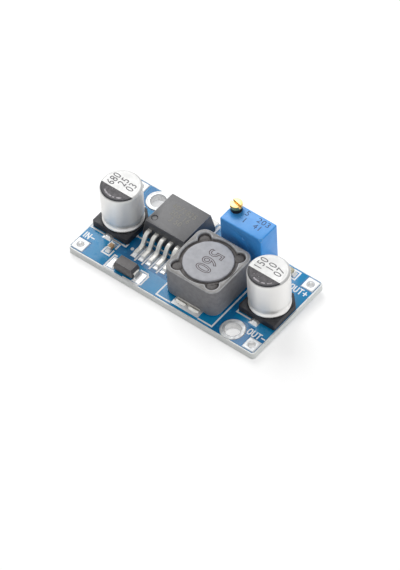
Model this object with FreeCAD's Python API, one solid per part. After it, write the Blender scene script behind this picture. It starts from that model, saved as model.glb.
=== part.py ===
import FreeCAD, Part
import math
import os

Vector = FreeCAD.Vector

# Layers of the board, from the pads underneath up to the print
core_thickness = 1.5
mask_thickness = 0.05
pad_thickness = 0.08
legend_thickness = 0.03
board_corner_radius = 0.7
mask_edge_margin = 0.25
mask_pad_gap = 0.05
plating_thickness = 0.05

# Gaps along the row of large parts, left edge to right edge
edge_to_input_capacitor = 0.45
edge_to_output_capacitor = 0.3
capacitor_to_regulator = 0.75
regulator_to_inductor = 1.0
inductor_to_capacitor = 1.9

# Gaps across the board, front edge to back edge
front_edge_to_inductor = 2.3
inductor_to_trimmer = 1.2
back_edge_to_trimmer = 0.7
back_edge_to_tab = 0.8
regulator_to_diode = 1.9
front_edge_to_diode_pad = 0.55

# Holes for the fixing screws
mounting_hole_diameter = 3.1
mounting_ring_diameter = 4.8
ring_to_tab_pad = 0.25
ring_to_capacitor_pad = 0.05
ring_to_board_edge = 0.1

# Pads where the four wires are soldered
wire_pad_size = 2.6
wire_hole_diameter = 1.4
wire_pad_inset_x = 1.65
wire_pad_inset_y = 1.75

# Aluminium can capacitors
can_diameter = 8.0
can_top_above_board = 10.2
can_top_edge_radius = 0.45
can_rim_height = 0.9
can_rim_radius = 0.3
can_groove_height = 1.0
can_groove_depth = 0.32
capacitor_base_size = 8.3
capacitor_base_plate = 1.3
capacitor_post_height = 0.12
capacitor_post_length = 2.6
capacitor_base_chamfer = 1.9
capacitor_corner_cut = 0.25
capacitor_offset_y = 0.25
can_well_clearance = 0.05
capacitor_terminal_width = 0.9
capacitor_terminal_thickness = 0.25
capacitor_terminal_reach = 0.6
capacitor_terminal_root = 1.6
capacitor_pad_width = 1.9
capacitor_pad_reach = 1.15

# Switching regulator in a five-lead power package
regulator_width = 10.2
regulator_length = 8.7
regulator_height = 4.45
regulator_underside_gap = 0.1
regulator_side_draft = 0.6
regulator_end_draft = 0.35
tab_thickness = 1.27
tab_reach = 1.25
tab_side_inset = 0.1
tab_inner_length = 6.5
lead_count = 5
lead_pitch = 1.7
lead_width = 0.8
lead_thickness = 0.45
lead_exit_height = 2.45
lead_reach = 4.25
lead_foot_length = 2.0
lead_bend_radius = 1.05
lead_straight_out = 0.95
lead_root_length = 1.2
dimple_diameter = 1.3
dimple_depth = 0.12
dimple_inset_x = 1.0
dimple_inset_y = 1.45
regulator_pad_width = 1.1
regulator_pad_reach = 0.85
regulator_pad_heel = 0.6
tab_pad_margin = 0.35

# Shielded power inductor
inductor_top_above_board = 6.72
inductor_corner_radius = 1.9
shield_top_edge_radius = 0.25
core_post_diameter = 5.2
winding_depth = 1.9
winding_to_flange_edge = 0.25
flange_to_shield = 0.7
shield_wall = 0.55
flange_thickness = 1.0
lower_flange_thickness = 0.9
core_below_shield_top = 0.08
winding_gap = 0.1
pocket_diameter = 2.5
pocket_beyond_bore = 0.15
pocket_depth = 1.1
adhesive_below_shield_top = 0.4
adhesive_thickness = 0.6
pocket_adhesive_thickness = 0.35
inductor_clip_width = 4.9
inductor_clip_thickness = 0.15
inductor_clip_lip = 0.25
inductor_clip_under = 2.2
inductor_foot_width = 2.2
inductor_foot_reach = 0.95
inductor_foot_overlap = 0.3
inductor_pad_width = 6.2
inductor_pad_reach = 1.55
inductor_back_pad_reach = 1.05

# Rectifier diode
diode_length = 4.3
diode_width = 2.6
diode_height = 2.2
diode_underside_gap = 0.1
diode_parting_height = 1.1
diode_top_draft = 0.3
diode_under_draft = 0.15
diode_lead_width = 1.45
diode_lead_thickness = 0.2
diode_lead_bend_radius = 0.2
diode_lead_reach = 0.38
diode_lead_under = 1.0
diode_lead_root = 0.6
diode_pad_length = 1.8
diode_pad_width = 2.7
diode_pad_reach = 1.35
diode_offset_x = -2.15

# Chip parts: length, width, height and the length of each metal end
chip_length = 1.6
chip_width = 0.8
chip_height = 0.8
chip_end_length = 0.3
chip_end_wrap = 0.03
chip_pad_length = 0.95
chip_pad_width = 1.05
chip_pad_reach = 0.55
resistor_height = 0.45
ceramic_offset_x = 2.12
ceramic_offset_y = -6.35
resistor_offset_x = -2.65
resistor_to_capacitor = 1.4

# Indicator lamp
lamp_length = 2.0
lamp_width = 1.25
lamp_base_height = 0.3
lamp_lens_height = 0.5
lamp_end_length = 0.35
lamp_end_thickness = 0.05
lamp_pad_reach = 0.45
lamp_inset_x = 6.55
lamp_inset_y = 1.65

# Multi-turn trimmer
trimmer_length = 9.5
trimmer_width = 4.8
trimmer_height = 9.65
trimmer_standoff = 0.35
trimmer_offset_x = 1.85
trimmer_wall = 0.5
trimmer_top_wall = 0.9
trimmer_edge_radius = 0.25
trimmer_corner_cut = 0.75
trimmer_base_thickness = 0.9
trimmer_foot_size = 0.8
trimmer_fit = 0.04
element_thickness = 0.6
element_side_gap = 0.3
moulding_dot_diameter = 0.7
moulding_dot_depth = 0.1
moulding_dot_above_base = 7.4
moulding_dot_from_left = 5.4
screw_inset_x = 1.25
screw_inset_y = 1.42
screw_head_diameter = 2.35
screw_head_thickness = 0.9
screw_neck_diameter = 2.0
screw_neck_below_top = 1.6
screw_neck_clearance = 0.06
screw_slot_width = 0.45
screw_slot_depth = 0.55
screw_slot_angle = -13.0
screw_shank_diameter = 1.2
screw_pivot_diameter = 0.8
screw_pivot_length = 0.5
screw_pivot_clearance = 0.06
seal_diameter = 2.2
seal_height = 0.8
seal_to_housing = 0.05
carriage_height = 1.4
carriage_length = 2.6
carriage_clearance = 0.1
carriage_thread_clearance = 0.08
contact_thickness = 0.15
contact_length = 2.4
contact_height = 0.9
contact_gap = 0.08
contact_tip_height = 0.25
pin_diameter = 0.5
pin_pitch = 2.54
pin_hole_diameter = 0.9
pin_ring_diameter = 1.7
pin_below_board = 0.62
pin_above_base = 0.1
pin_count = 3

# Solder
pin_solder_height = 0.5
pin_solder_tip_diameter = 0.75
toe_fillet_length = 0.32
toe_fillet_height = 0.3
chip_fillet_length = 0.3
chip_fillet_height = 0.4
diode_fillet_height = 0.45

# White print on the board
legend_line = 0.2
letter_line = 0.25
letter_height = 1.2
letter_spacing = 0.36
capacitor_outline_length = 8.2
capacitor_outline_width = 9.0
capacitor_outline_leg = 0.7
capacitor_outline_gap = 0.12
chip_outline_margin = 0.28
inductor_outline_margin_x = 0.42
inductor_outline_front = 1.55
inductor_outline_back = 0.6
regulator_outline_gap = 0.75
separator_reach = 0.4
pin_one_dot_diameter = 0.55
pin_one_dot_left = 1.2
pin_one_mark_size = 0.6
diode_outline_corner = 0.5
diode_outline_opening = 2.3
chip_outline_opening = 0.7
label_to_pad = 0.55
label_to_ring = 0.12
output_label_inset = 0.38

# How far a cutting tool passes the face it cuts
overcut = 1.0

# Heights of the board's faces
core_bottom = pad_thickness
core_top = core_bottom + core_thickness
mask_bottom = core_bottom - mask_thickness
mask_top = core_top + mask_thickness
pad_top = core_top + pad_thickness
legend_top = mask_top + legend_thickness

# The inductor grows outwards from the post of its core
winding_outer_diameter = core_post_diameter + 2 * winding_depth
flange_diameter = winding_outer_diameter + 2 * winding_to_flange_edge
shield_bore_diameter = flange_diameter + 2 * flange_to_shield
inductor_size = shield_bore_diameter + 2 * shield_wall

# The board is as long as its row of large parts and as wide as its longest column
row_of_parts = 2 * capacitor_base_size + regulator_width + inductor_size
row_of_gaps = capacitor_to_regulator + regulator_to_inductor + inductor_to_capacitor
row_of_gaps += edge_to_input_capacitor + edge_to_output_capacitor
board_length = row_of_parts + row_of_gaps
regulator_total = tab_reach + regulator_length + lead_reach + regulator_pad_reach
regulator_column = back_edge_to_tab + regulator_total + regulator_to_diode
regulator_column += diode_pad_width + front_edge_to_diode_pad
inductor_column = front_edge_to_inductor + inductor_size + inductor_to_trimmer
inductor_column += trimmer_width + back_edge_to_trimmer
ring_y = capacitor_offset_y + capacitor_base_size / 2 + capacitor_pad_reach
ring_y += ring_to_capacitor_pad + mounting_ring_diameter / 2
ring_column = 2 * (ring_y + mounting_ring_diameter / 2 + ring_to_board_edge)
board_width = max(regulator_column, inductor_column, ring_column)
right_edge = board_length / 2
left_edge = -right_edge
back_edge = board_width / 2
front_edge = -back_edge

# Places of the parts, seen from above
input_capacitor_x = left_edge + edge_to_input_capacitor + capacitor_base_size / 2
regulator_x = input_capacitor_x + capacitor_base_size / 2 + capacitor_to_regulator + regulator_width / 2
inductor_x = regulator_x + regulator_width / 2 + regulator_to_inductor + inductor_size / 2
output_capacitor_x = right_edge - edge_to_output_capacitor - capacitor_base_size / 2
inductor_y = front_edge + front_edge_to_inductor + inductor_size / 2
regulator_back = back_edge - back_edge_to_tab - tab_reach
regulator_front = regulator_back - regulator_length
lead_tip = regulator_front - lead_reach
diode_x = regulator_x + diode_offset_x
diode_y = front_edge + front_edge_to_diode_pad + diode_pad_width / 2
trimmer_x = inductor_x + trimmer_offset_x
trimmer_y = inductor_y + inductor_size / 2 + inductor_to_trimmer + trimmer_width / 2
ceramic_x = input_capacitor_x + ceramic_offset_x
ceramic_y = capacitor_offset_y + ceramic_offset_y
resistor_x = output_capacitor_x + resistor_offset_x
resistor_y = capacitor_offset_y + capacitor_base_size / 2 + resistor_to_capacitor + chip_width / 2
lamp_x = right_edge - lamp_inset_x
lamp_y = back_edge - lamp_inset_y
tab_width = regulator_width - 2 * tab_side_inset
tab_pad_left = regulator_x - tab_width / 2 - tab_pad_margin
ring_x = tab_pad_left - ring_to_tab_pad - mounting_ring_diameter / 2
mounting_holes = [(ring_x, ring_y), (-ring_x, -ring_y)]

# The longest label fills the room between the right ring and the print's limit
print_limit = right_edge - mask_edge_margin - legend_line
longest_label = "OUT-"
longest_label_start = -ring_x + mounting_ring_diameter / 2 + label_to_ring
letter_gaps = (len(longest_label) - 1) * letter_spacing
letter_width = (print_limit - longest_label_start - letter_gaps) / len(longest_label)
wire_pads = {
    "input_positive_pad": (left_edge + wire_pad_inset_x, back_edge - wire_pad_inset_y),
    "input_negative_pad": (left_edge + wire_pad_inset_x, front_edge + wire_pad_inset_y),
    "output_positive_pad": (right_edge - wire_pad_inset_x, back_edge - wire_pad_inset_y),
    "output_negative_pad": (right_edge - wire_pad_inset_x, front_edge + wire_pad_inset_y),
}
lead_places = [regulator_x + (i - (lead_count - 1) / 2) * lead_pitch for i in range(lead_count)]
pin_places = [(trimmer_x + (i - (pin_count - 1) / 2) * pin_pitch, trimmer_y) for i in range(pin_count)]


# Basic solids

def box(x0, x1, y0, y1, z0, z1):
    return Part.makeBox(x1 - x0, y1 - y0, z1 - z0, Vector(x0, y0, z0))


def centred_box(x, y, length, width, z0, z1):
    return box(x - length / 2, x + length / 2, y - width / 2, y + width / 2, z0, z1)


def disc(x, y, diameter, z0, z1):
    return Part.makeCylinder(diameter / 2, z1 - z0, Vector(x, y, z0))


def upright_edges(shape):
    found = []
    for edge in shape.Edges:
        start = edge.Vertexes[0].Point
        end = edge.Vertexes[-1].Point
        if abs(start.x - end.x) < 1e-6 and abs(start.y - end.y) < 1e-6 and abs(start.z - end.z) > 1e-6:
            found.append(edge)
    return found


def edges_at_height(shape, height):
    found = []
    for edge in shape.Edges:
        room = edge.BoundBox
        if abs(room.ZMin - height) < 1e-6 and abs(room.ZMax - height) < 1e-6:
            found.append(edge)
    return found


def rounded_block(x, y, length, width, radius, z0, z1):
    block = centred_box(x, y, length, width, z0, z1)
    return block.makeFillet(radius, upright_edges(block))


def rectangle_wire(x0, x1, y0, y1, z):
    corners = [Vector(x0, y0, z), Vector(x1, y0, z), Vector(x1, y1, z), Vector(x0, y1, z)]
    return Part.makePolygon(corners + corners[:1])


def tapered_block(x0, x1, y0, y1, z0, z1, inset_x, inset_y):
    low = rectangle_wire(x0, x1, y0, y1, z0)
    high = rectangle_wire(x0 + inset_x, x1 - inset_x, y0 + inset_y, y1 - inset_y, z1)
    return Part.makeLoft([low, high], True, True)


def prism(points, direction):
    return Part.Face(Part.makePolygon(points + points[:1])).extrude(direction)


# A strip of sheet metal that follows a bent line, given as pairs of distance outwards and height
def bent_strip(points, bend_radius, thickness, to_space, along):
    half = thickness / 2
    sides = {half: [], -half: []}
    last = len(points) - 1
    starts = {}
    for i in range(last + 1):
        before = points[max(i - 1, 0)]
        here = points[i]
        after = points[min(i + 1, last)]
        turn_in = unit(before, here) if i > 0 else unit(here, after)
        turn_out = unit(here, after) if i < last else turn_in
        cross = turn_in[0] * turn_out[1] - turn_in[1] * turn_out[0]
        angle = math.atan2(abs(cross), turn_in[0] * turn_out[0] + turn_in[1] * turn_out[1])
        side = 1 if cross > 0 else -1
        run = bend_radius * math.tan(angle / 2)
        first = (here[0] - turn_in[0] * run, here[1] - turn_in[1] * run)
        second = (here[0] + turn_out[0] * run, here[1] + turn_out[1] * run)
        centre = (first[0] - side * turn_in[1] * bend_radius, first[1] + side * turn_in[0] * bend_radius)
        for offset in sides:
            a = (first[0] - turn_in[1] * offset, first[1] + turn_in[0] * offset)
            b = (second[0] - turn_out[1] * offset, second[1] + turn_out[0] * offset)
            if offset in starts:
                sides[offset].append(Part.makeLine(to_space(starts[offset]), to_space(a)))
            if angle > 1e-6:
                outwards = unit(centre, here)
                reach = bend_radius - side * offset
                middle = (centre[0] + outwards[0] * reach, centre[1] + outwards[1] * reach)
                sides[offset].append(Part.Arc(to_space(a), to_space(middle), to_space(b)).toShape())
            starts[offset] = b
    caps = []
    for i, way in ((0, unit(points[0], points[1])), (last, unit(points[last - 1], points[last]))):
        ends = [(points[i][0] - way[1] * offset, points[i][1] + way[0] * offset) for offset in sides]
        caps.append(Part.makeLine(to_space(ends[0]), to_space(ends[1])))
    outline = Part.Wire(Part.__sortEdges__(sides[half] + sides[-half] + caps))
    return Part.Face(outline).extrude(along)


def unit(start, end):
    run = (end[0] - start[0], end[1] - start[1])
    length = math.hypot(run[0], run[1])
    return (run[0] / length, run[1] / length)


def save(name, shapes):
    shape = Part.makeCompound(shapes) if isinstance(shapes, list) else shapes
    for solid in shape.Solids:
        if not solid.isValid():
            print("not valid:", name)
    shape.exportStep("parts/" + name + ".step")
    print(name, len(shape.Solids), "solid", round(shape.Volume, 3), "mm3")


# Where the tinned pads lie on the top face

def pad_rectangles():
    pads = []
    for x in (input_capacitor_x, output_capacitor_x):
        for side in (-1, 1):
            near = capacitor_offset_y + side * capacitor_terminal_root
            far = capacitor_offset_y + side * (capacitor_base_size / 2 + capacitor_pad_reach)
            half = capacitor_pad_width / 2
            pads.append((x - half, x + half, min(near, far), max(near, far)))
    for x in lead_places:
        heel = lead_tip + lead_foot_length + regulator_pad_heel
        half = regulator_pad_width / 2
        pads.append((x - half, x + half, lead_tip - regulator_pad_reach, heel))
    tab_half = tab_width / 2 + tab_pad_margin
    tab_front = regulator_back - tab_inner_length
    tab_back = regulator_back + tab_reach + tab_pad_margin
    pads.append((regulator_x - tab_half, regulator_x + tab_half, tab_front, tab_back))
    inductor_half = inductor_size / 2
    clip_half = inductor_pad_width / 2
    near = inductor_half - inductor_clip_under
    far = inductor_half + inductor_pad_reach
    back_far = inductor_half + inductor_back_pad_reach
    pads.append((inductor_x - clip_half, inductor_x + clip_half, inductor_y - far, inductor_y - near))
    pads.append((inductor_x - clip_half, inductor_x + clip_half, inductor_y + near, inductor_y + back_far))
    for side in (-1, 1):
        far = side * (diode_length / 2 + diode_pad_reach + diode_lead_reach)
        near = far - side * diode_pad_length
        half = diode_pad_width / 2
        pads.append((diode_x + min(near, far), diode_x + max(near, far), diode_y - half, diode_y + half))
    return pads


def chip_pad_rectangles():
    pads = []
    half = chip_pad_width / 2
    for side in (-1, 1):
        far = side * (chip_length / 2 + chip_pad_reach)
        near = far - side * chip_pad_length
        low, high = min(near, far), max(near, far)
        pads.append((ceramic_x - half, ceramic_x + half, ceramic_y + low, ceramic_y + high))
        pads.append((resistor_x + low, resistor_x + high, resistor_y - half, resistor_y + half))
    for side in (-1, 1):
        far = side * (lamp_length / 2 + lamp_pad_reach)
        near = side * (lamp_length / 2 - lamp_end_length)
        low, high = min(near, far), max(near, far)
        pads.append((lamp_x + low, lamp_x + high, lamp_y - lamp_width / 2, lamp_y + lamp_width / 2))
    return pads


# The board and its layers

def board_outline(margin, z0, z1):
    radius = board_corner_radius - min(margin, board_corner_radius / 2)
    return rounded_block(0, 0, board_length - 2 * margin, board_width - 2 * margin, radius, z0, z1)


def make_board():
    core = board_outline(0, core_bottom, core_top)
    drilled = []
    for x, y in mounting_holes:
        drilled.append((x, y, mounting_hole_diameter + 2 * plating_thickness))
    for x, y in wire_pads.values():
        drilled.append((x, y, wire_hole_diameter))
    for x, y in pin_places:
        drilled.append((x, y, pin_hole_diameter + 2 * plating_thickness))
    return core.cut([disc(x, y, diameter, core_bottom, core_top) for x, y, diameter in drilled])


def make_mask(top):
    z0 = core_top if top else mask_bottom
    z1 = mask_top if top else core_bottom
    layer = board_outline(mask_edge_margin, z0, z1)
    gap = mask_pad_gap
    tools = []
    for x, y in mounting_holes:
        tools.append(disc(x, y, mounting_ring_diameter + 2 * gap, z0, z1))
    for x, y in wire_pads.values():
        tools.append(centred_box(x, y, wire_pad_size + 2 * gap, wire_pad_size + 2 * gap, z0, z1))
    for x, y in pin_places:
        tools.append(disc(x, y, pin_ring_diameter + 2 * gap, z0, z1))
    if top:
        for x0, x1, y0, y1 in pad_rectangles() + chip_pad_rectangles():
            tools.append(box(x0 - gap, x1 + gap, y0 - gap, y1 + gap, z0, z1))
    return layer.cut(tools)


def plated_hole(x, y, hole, land):
    barrel = disc(x, y, hole + 2 * plating_thickness, core_bottom, core_top)
    lands = [land(0, core_bottom), land(core_top, pad_top)]
    solid = barrel.fuse(lands)
    return solid.cut(disc(x, y, hole, -overcut, pad_top + overcut)).removeSplitter()


def make_mounting_rings():
    rings = []
    for x, y in mounting_holes:
        def land(z0, z1):
            return disc(x, y, mounting_ring_diameter, z0, z1)
        rings.append(plated_hole(x, y, mounting_hole_diameter, land))
    return rings


# The skin of copper in a wire hole is too thin to draw: a land above and one below
def make_wire_pad(x, y):
    lands = []
    for z0, z1 in ((0, core_bottom), (core_top, pad_top)):
        land = centred_box(x, y, wire_pad_size, wire_pad_size, z0, z1)
        lands.append(land.cut(disc(x, y, wire_hole_diameter, z0, z1)))
    return lands


def make_component_pads():
    pads = [box(*pad, core_top, pad_top) for pad in pad_rectangles() + chip_pad_rectangles()]
    for x, y in pin_places:
        def land(z0, z1):
            return disc(x, y, pin_ring_diameter, z0, z1)
        pads.append(plated_hole(x, y, pin_hole_diameter, land))
    return pads


# Print: straight strokes and plain capital letters

def stroke(x0, y0, x1, y1, width):
    way = unit((x0, y0), (x1, y1))
    half = width / 2
    ax, ay = x0 - way[0] * half, y0 - way[1] * half
    bx, by = x1 + way[0] * half, y1 + way[1] * half
    nx, ny = -way[1] * half, way[0] * half
    corners = [(ax + nx, ay + ny), (bx + nx, by + ny), (bx - nx, by - ny), (ax - nx, ay - ny)]
    points = [Vector(px, py, mask_top) for px, py in corners]
    return prism(points, Vector(0, 0, legend_thickness))


def joined_strokes(lines, width):
    strokes = [stroke(*line, width) for line in lines]
    if len(strokes) == 1:
        return strokes[0]
    return strokes[0].fuse(strokes[1:]).removeSplitter()


letter_shapes = {
    "I": [(0.5, 0, 0.5, 1)],
    "N": [(0, 0, 0, 1), (0, 1, 1, 0), (1, 0, 1, 1)],
    "O": [(0.25, 0, 0.75, 0), (0.75, 0, 1, 0.25), (1, 0.25, 1, 0.75), (1, 0.75, 0.75, 1),
          (0.75, 1, 0.25, 1), (0.25, 1, 0, 0.75), (0, 0.75, 0, 0.25), (0, 0.25, 0.25, 0)],
    "U": [(0, 1, 0, 0.25), (0, 0.25, 0.25, 0), (0.25, 0, 0.75, 0), (0.75, 0, 1, 0.25), (1, 0.25, 1, 1)],
    "T": [(0, 1, 1, 1), (0.5, 0, 0.5, 1)],
    "+": [(0, 0.5, 1, 0.5), (0.5, 0.15, 0.5, 0.85)],
    "-": [(0, 0.5, 1, 0.5)],
}
narrow_letters = {"I": 0.2}


def make_label(text, x, y):
    solids = []
    place = x
    for letter in text:
        width = letter_width * narrow_letters.get(letter, 1)
        low = y - letter_height / 2
        lines = []
        for x0, y0, x1, y1 in letter_shapes[letter]:
            start = (place + x0 * width, low + y0 * letter_height)
            end = (place + x1 * width, low + y1 * letter_height)
            lines.append(start + end)
        solids.append(joined_strokes(lines, letter_line))
        place += width + letter_spacing
    return solids


def label_length(text):
    widths = [letter_width * narrow_letters.get(letter, 1) for letter in text]
    return sum(widths) + letter_spacing * (len(text) - 1)


# Each corner is given by the way it lies from the middle, along X and along Y
def capacitor_outlines(x, corners):
    gap = capacitor_pad_width / 2 + capacitor_outline_gap + mask_pad_gap
    result = []
    for way, side in corners:
        y = capacitor_offset_y + side * capacitor_outline_width / 2
        corner = max(-print_limit, min(print_limit, x + way * capacitor_outline_length / 2))
        result.append([(x + way * gap, y, corner, y), (corner, y, corner, y - side * capacitor_outline_leg)])
    return result


def inductor_outlines():
    left = inductor_x - inductor_size / 2 - inductor_outline_margin_x
    right = inductor_x + inductor_size / 2 + inductor_outline_margin_x
    front = inductor_y - inductor_size / 2 - inductor_outline_front
    back = inductor_y + inductor_size / 2 + inductor_outline_back
    gap = inductor_pad_width / 2 + mask_pad_gap + legend_line
    near_left = inductor_x - gap
    near_right = inductor_x + gap
    return [
        [(near_left, front, left, front), (left, front, left, back), (left, back, near_left, back)],
        [(near_right, front, right, front), (right, front, right, back), (right, back, near_right, back)],
    ]


def regulator_outline_lines():
    y = regulator_front - regulator_outline_gap
    half = regulator_width / 2 + legend_line
    lines = [(regulator_x - half, y, regulator_x + half, y)]
    front = lead_tip - regulator_pad_reach - separator_reach
    back = lead_tip + lead_foot_length + regulator_pad_heel - legend_line
    for i in range(lead_count - 1):
        x = (lead_places[i] + lead_places[i + 1]) / 2
        lines.append((x, front, x, back))
    return lines


def diode_outlines():
    reach = diode_length / 2 + diode_lead_reach + diode_pad_reach + mask_pad_gap + legend_line
    side = diode_pad_width / 2 + mask_pad_gap + legend_line
    front = diode_y - side
    back = diode_y + side
    corner = diode_outline_corner
    left = diode_x - reach
    right = diode_x + reach
    inner_left = diode_x - diode_length / 2 + legend_line
    inner_right = inner_left + diode_outline_opening
    return [
        [(left + corner, back, left, back), (left, back, left, front), (left, front, inner_left, front)],
        [(inner_right, front, right - corner, front), (right - corner, front, right, front + corner),
         (right, front + corner, right, back - corner), (right, back - corner, right - corner, back),
         (right - corner, back, diode_x + diode_length / 2, back)],
    ]


def chip_outlines(x, y, along_x, length, pad_width):
    margin = chip_outline_margin + mask_pad_gap
    reach = length + margin
    side = pad_width / 2 + margin
    inner = chip_outline_opening / 2
    result = []
    for way in (-1, 1):
        points = [(way * inner, -side), (way * reach, -side), (way * reach, side), (way * inner, side)]
        if not along_x:
            points = [(py, px) for px, py in points]
        lines = []
        for (x0, y0), (x1, y1) in zip(points, points[1:]):
            lines.append((x + x0, y + y0, x + x1, y + y1))
        result.append(lines)
    return result


def make_legend():
    solids = []
    offset = wire_pad_size / 2 + label_to_pad + letter_height / 2
    front_y = front_edge + wire_pad_inset_y + offset
    back_y = back_edge - wire_pad_inset_y - offset
    solids += make_label("IN-", -print_limit + letter_line, front_y)
    solids += make_label("IN+", -print_limit + letter_line, back_y)
    solids += make_label(longest_label, longest_label_start, front_y - letter_line)
    solids += make_label("OUT+", print_limit - label_length("OUT+") - output_label_inset, back_y)
    outlines = capacitor_outlines(input_capacitor_x, [(-1, -1), (1, -1)])
    outlines += capacitor_outlines(output_capacitor_x, [(-1, -1)])
    outlines += inductor_outlines() + diode_outlines()
    for line in regulator_outline_lines():
        solids.append(stroke(*line, legend_line))
    chip_reach = chip_length / 2 + chip_pad_reach
    outlines += chip_outlines(ceramic_x, ceramic_y, False, chip_reach, chip_pad_width)
    outlines += chip_outlines(resistor_x, resistor_y, True, chip_reach, chip_pad_width)
    outlines += chip_outlines(lamp_x, lamp_y, True, lamp_length / 2 + lamp_pad_reach, lamp_width)
    for lines in outlines:
        solids.append(joined_strokes(lines, legend_line))
    dot_x = lead_places[0] - pin_one_dot_left
    solids.append(disc(dot_x, lead_tip + pin_one_dot_diameter, pin_one_dot_diameter, mask_top, legend_top))
    solids.append(pin_one_mark())
    return solids


# A small filled triangle beside the end of the regulator's line
def pin_one_mark():
    half = pin_one_mark_size / 2
    x = regulator_x - regulator_width / 2 - legend_line - pin_one_mark_size - mask_pad_gap
    y = regulator_front - regulator_outline_gap
    points = [Vector(x, y - half, mask_top), Vector(x + 2 * half, y, mask_top), Vector(x, y + half, mask_top)]
    return prism(points, Vector(0, 0, legend_thickness))


# Capacitors: can, plastic base and two flat terminals

can_bottom = pad_top + capacitor_base_plate
can_top = mask_top + can_top_above_board


def make_can(x, y):
    radius = can_diameter / 2
    rim_top = can_bottom + can_rim_height
    groove_top = rim_top + can_groove_height
    groove_middle = (rim_top + groove_top) / 2
    low = can_rim_radius
    high = can_top_edge_radius
    diagonal = math.sin(math.radians(45))

    def at(r, z):
        return Vector(x + r, y, z)

    def arc(start, middle, end):
        return Part.Arc(at(*start), at(*middle), at(*end)).toShape()
    low_middle = (radius - low + low * diagonal, can_bottom + low - low * diagonal)
    high_middle = (radius - high + high * diagonal, can_top - high + high * diagonal)
    edges = [
        Part.makeLine(at(0, can_bottom), at(radius - low, can_bottom)),
        arc((radius - low, can_bottom), low_middle, (radius, can_bottom + low)),
        Part.makeLine(at(radius, can_bottom + low), at(radius, rim_top)),
        arc((radius, rim_top), (radius - can_groove_depth, groove_middle), (radius, groove_top)),
        Part.makeLine(at(radius, groove_top), at(radius, can_top - high)),
        arc((radius, can_top - high), high_middle, (radius - high, can_top)),
        Part.makeLine(at(radius - high, can_top), at(0, can_top)),
        Part.makeLine(at(0, can_top), at(0, can_bottom)),
    ]
    face = Part.Face(Part.Wire(edges))
    return face.revolve(Vector(x, y, 0), Vector(0, 0, 1), 360)


def make_capacitor_terminal(x, y, side):
    thickness = capacitor_terminal_thickness
    half = capacitor_terminal_width / 2
    root = y + side * capacitor_terminal_root
    tip = y + side * (capacitor_base_size / 2 + capacitor_terminal_reach)
    strip = box(x - half, x + half, min(root, tip), max(root, tip), pad_top, pad_top + thickness)
    riser_end = root + side * thickness
    riser = box(x - half, x + half, min(root, riser_end), max(root, riser_end), pad_top, can_bottom)
    return strip.fuse(riser).removeSplitter()


def make_capacitor_base(x, y, terminals):
    size = capacitor_base_size
    block = centred_box(x, y, size, size, pad_top, can_bottom + capacitor_post_height)
    positive_corners = [e for e in upright_edges(block) if e.CenterOfMass.y > y]
    block = block.makeChamfer(capacitor_base_chamfer, positive_corners)
    other_corners = [e for e in upright_edges(block) if e.CenterOfMass.y < y]
    block = block.makeChamfer(capacitor_corner_cut, other_corners)
    cross = size - 2 * capacitor_post_length
    room = can_bottom + capacitor_post_height
    well = disc(x, y, can_diameter + 2 * can_well_clearance, can_bottom, room)
    lane_x = centred_box(x, y, size, cross, can_bottom, room)
    lane_y = centred_box(x, y, cross, size, can_bottom, room)
    return block.cut([well, lane_x, lane_y]).cut(terminals)


def make_capacitor(name, x):
    y = capacitor_offset_y
    front = make_capacitor_terminal(x, y, -1)
    back = make_capacitor_terminal(x, y, 1)
    save(name + "_can", make_can(x, y))
    save(name + "_base", make_capacitor_base(x, y, [front, back]))
    save(name + "_front_terminal", front)
    save(name + "_back_terminal", back)


# Regulator: moulded body, metal tab and five formed leads

def make_tab():
    half = tab_width / 2
    front = regulator_back - tab_inner_length
    back = regulator_back + tab_reach
    return box(regulator_x - half, regulator_x + half, front, back, pad_top, pad_top + tab_thickness)


def make_regulator_lead(x):
    z = pad_top + lead_exit_height
    foot_z = pad_top + lead_thickness / 2
    root = regulator_front + lead_root_length
    foot_heel = lead_tip + lead_foot_length
    shoulder = regulator_front - lead_straight_out
    points = [(root, z), (shoulder, z), (foot_heel, foot_z), (lead_tip, foot_z)]
    left = x - lead_width / 2

    def to_space(point):
        return Vector(left, point[0], point[1])
    return bent_strip(points, lead_bend_radius, lead_thickness, to_space, Vector(lead_width, 0, 0))


def make_regulator_body(inserts):
    half = regulator_width / 2
    low = pad_top + regulator_underside_gap
    parting = pad_top + tab_thickness
    high = pad_top + regulator_height
    x0, x1 = regulator_x - half, regulator_x + half
    lower = box(x0, x1, regulator_front, regulator_back, low, parting)
    upper = tapered_block(x0, x1, regulator_front, regulator_back, parting, high,
                          regulator_side_draft, regulator_end_draft)
    body = lower.fuse(upper)
    dimple_x = x0 + regulator_side_draft + dimple_inset_x
    dimple_y = regulator_front + regulator_end_draft + dimple_inset_y
    dimple = disc(dimple_x, dimple_y, dimple_diameter, high - dimple_depth, high + overcut)
    return body.cut([dimple] + inserts).removeSplitter()


def make_regulator():
    tab = make_tab()
    leads = [make_regulator_lead(x) for x in lead_places]
    save("regulator_body", make_regulator_body([tab] + leads))
    save("regulator_tab", tab)
    for number, lead in enumerate(leads, 1):
        save("regulator_lead_" + str(number), lead)


# Inductor: ferrite shield, drum core, winding, adhesive and two clips

shield_bottom = pad_top + inductor_clip_thickness
shield_top = mask_top + inductor_top_above_board


def pocket_places():
    reach = (shield_bore_diameter / 2 + pocket_beyond_bore) * math.sin(math.radians(45))
    return [(inductor_x + i * reach, inductor_y + j * reach) for i in (-1, 1) for j in (-1, 1)]


def make_shield():
    block = rounded_block(inductor_x, inductor_y, inductor_size, inductor_size,
                          inductor_corner_radius, shield_bottom, shield_top)
    block = block.makeFillet(shield_top_edge_radius, edges_at_height(block, shield_top))
    above = shield_top + overcut
    tools = [disc(inductor_x, inductor_y, shield_bore_diameter, shield_bottom - overcut, above)]
    for x, y in pocket_places():
        tools.append(disc(x, y, pocket_diameter, shield_top - pocket_depth, above))
    return block.cut(tools)


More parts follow.
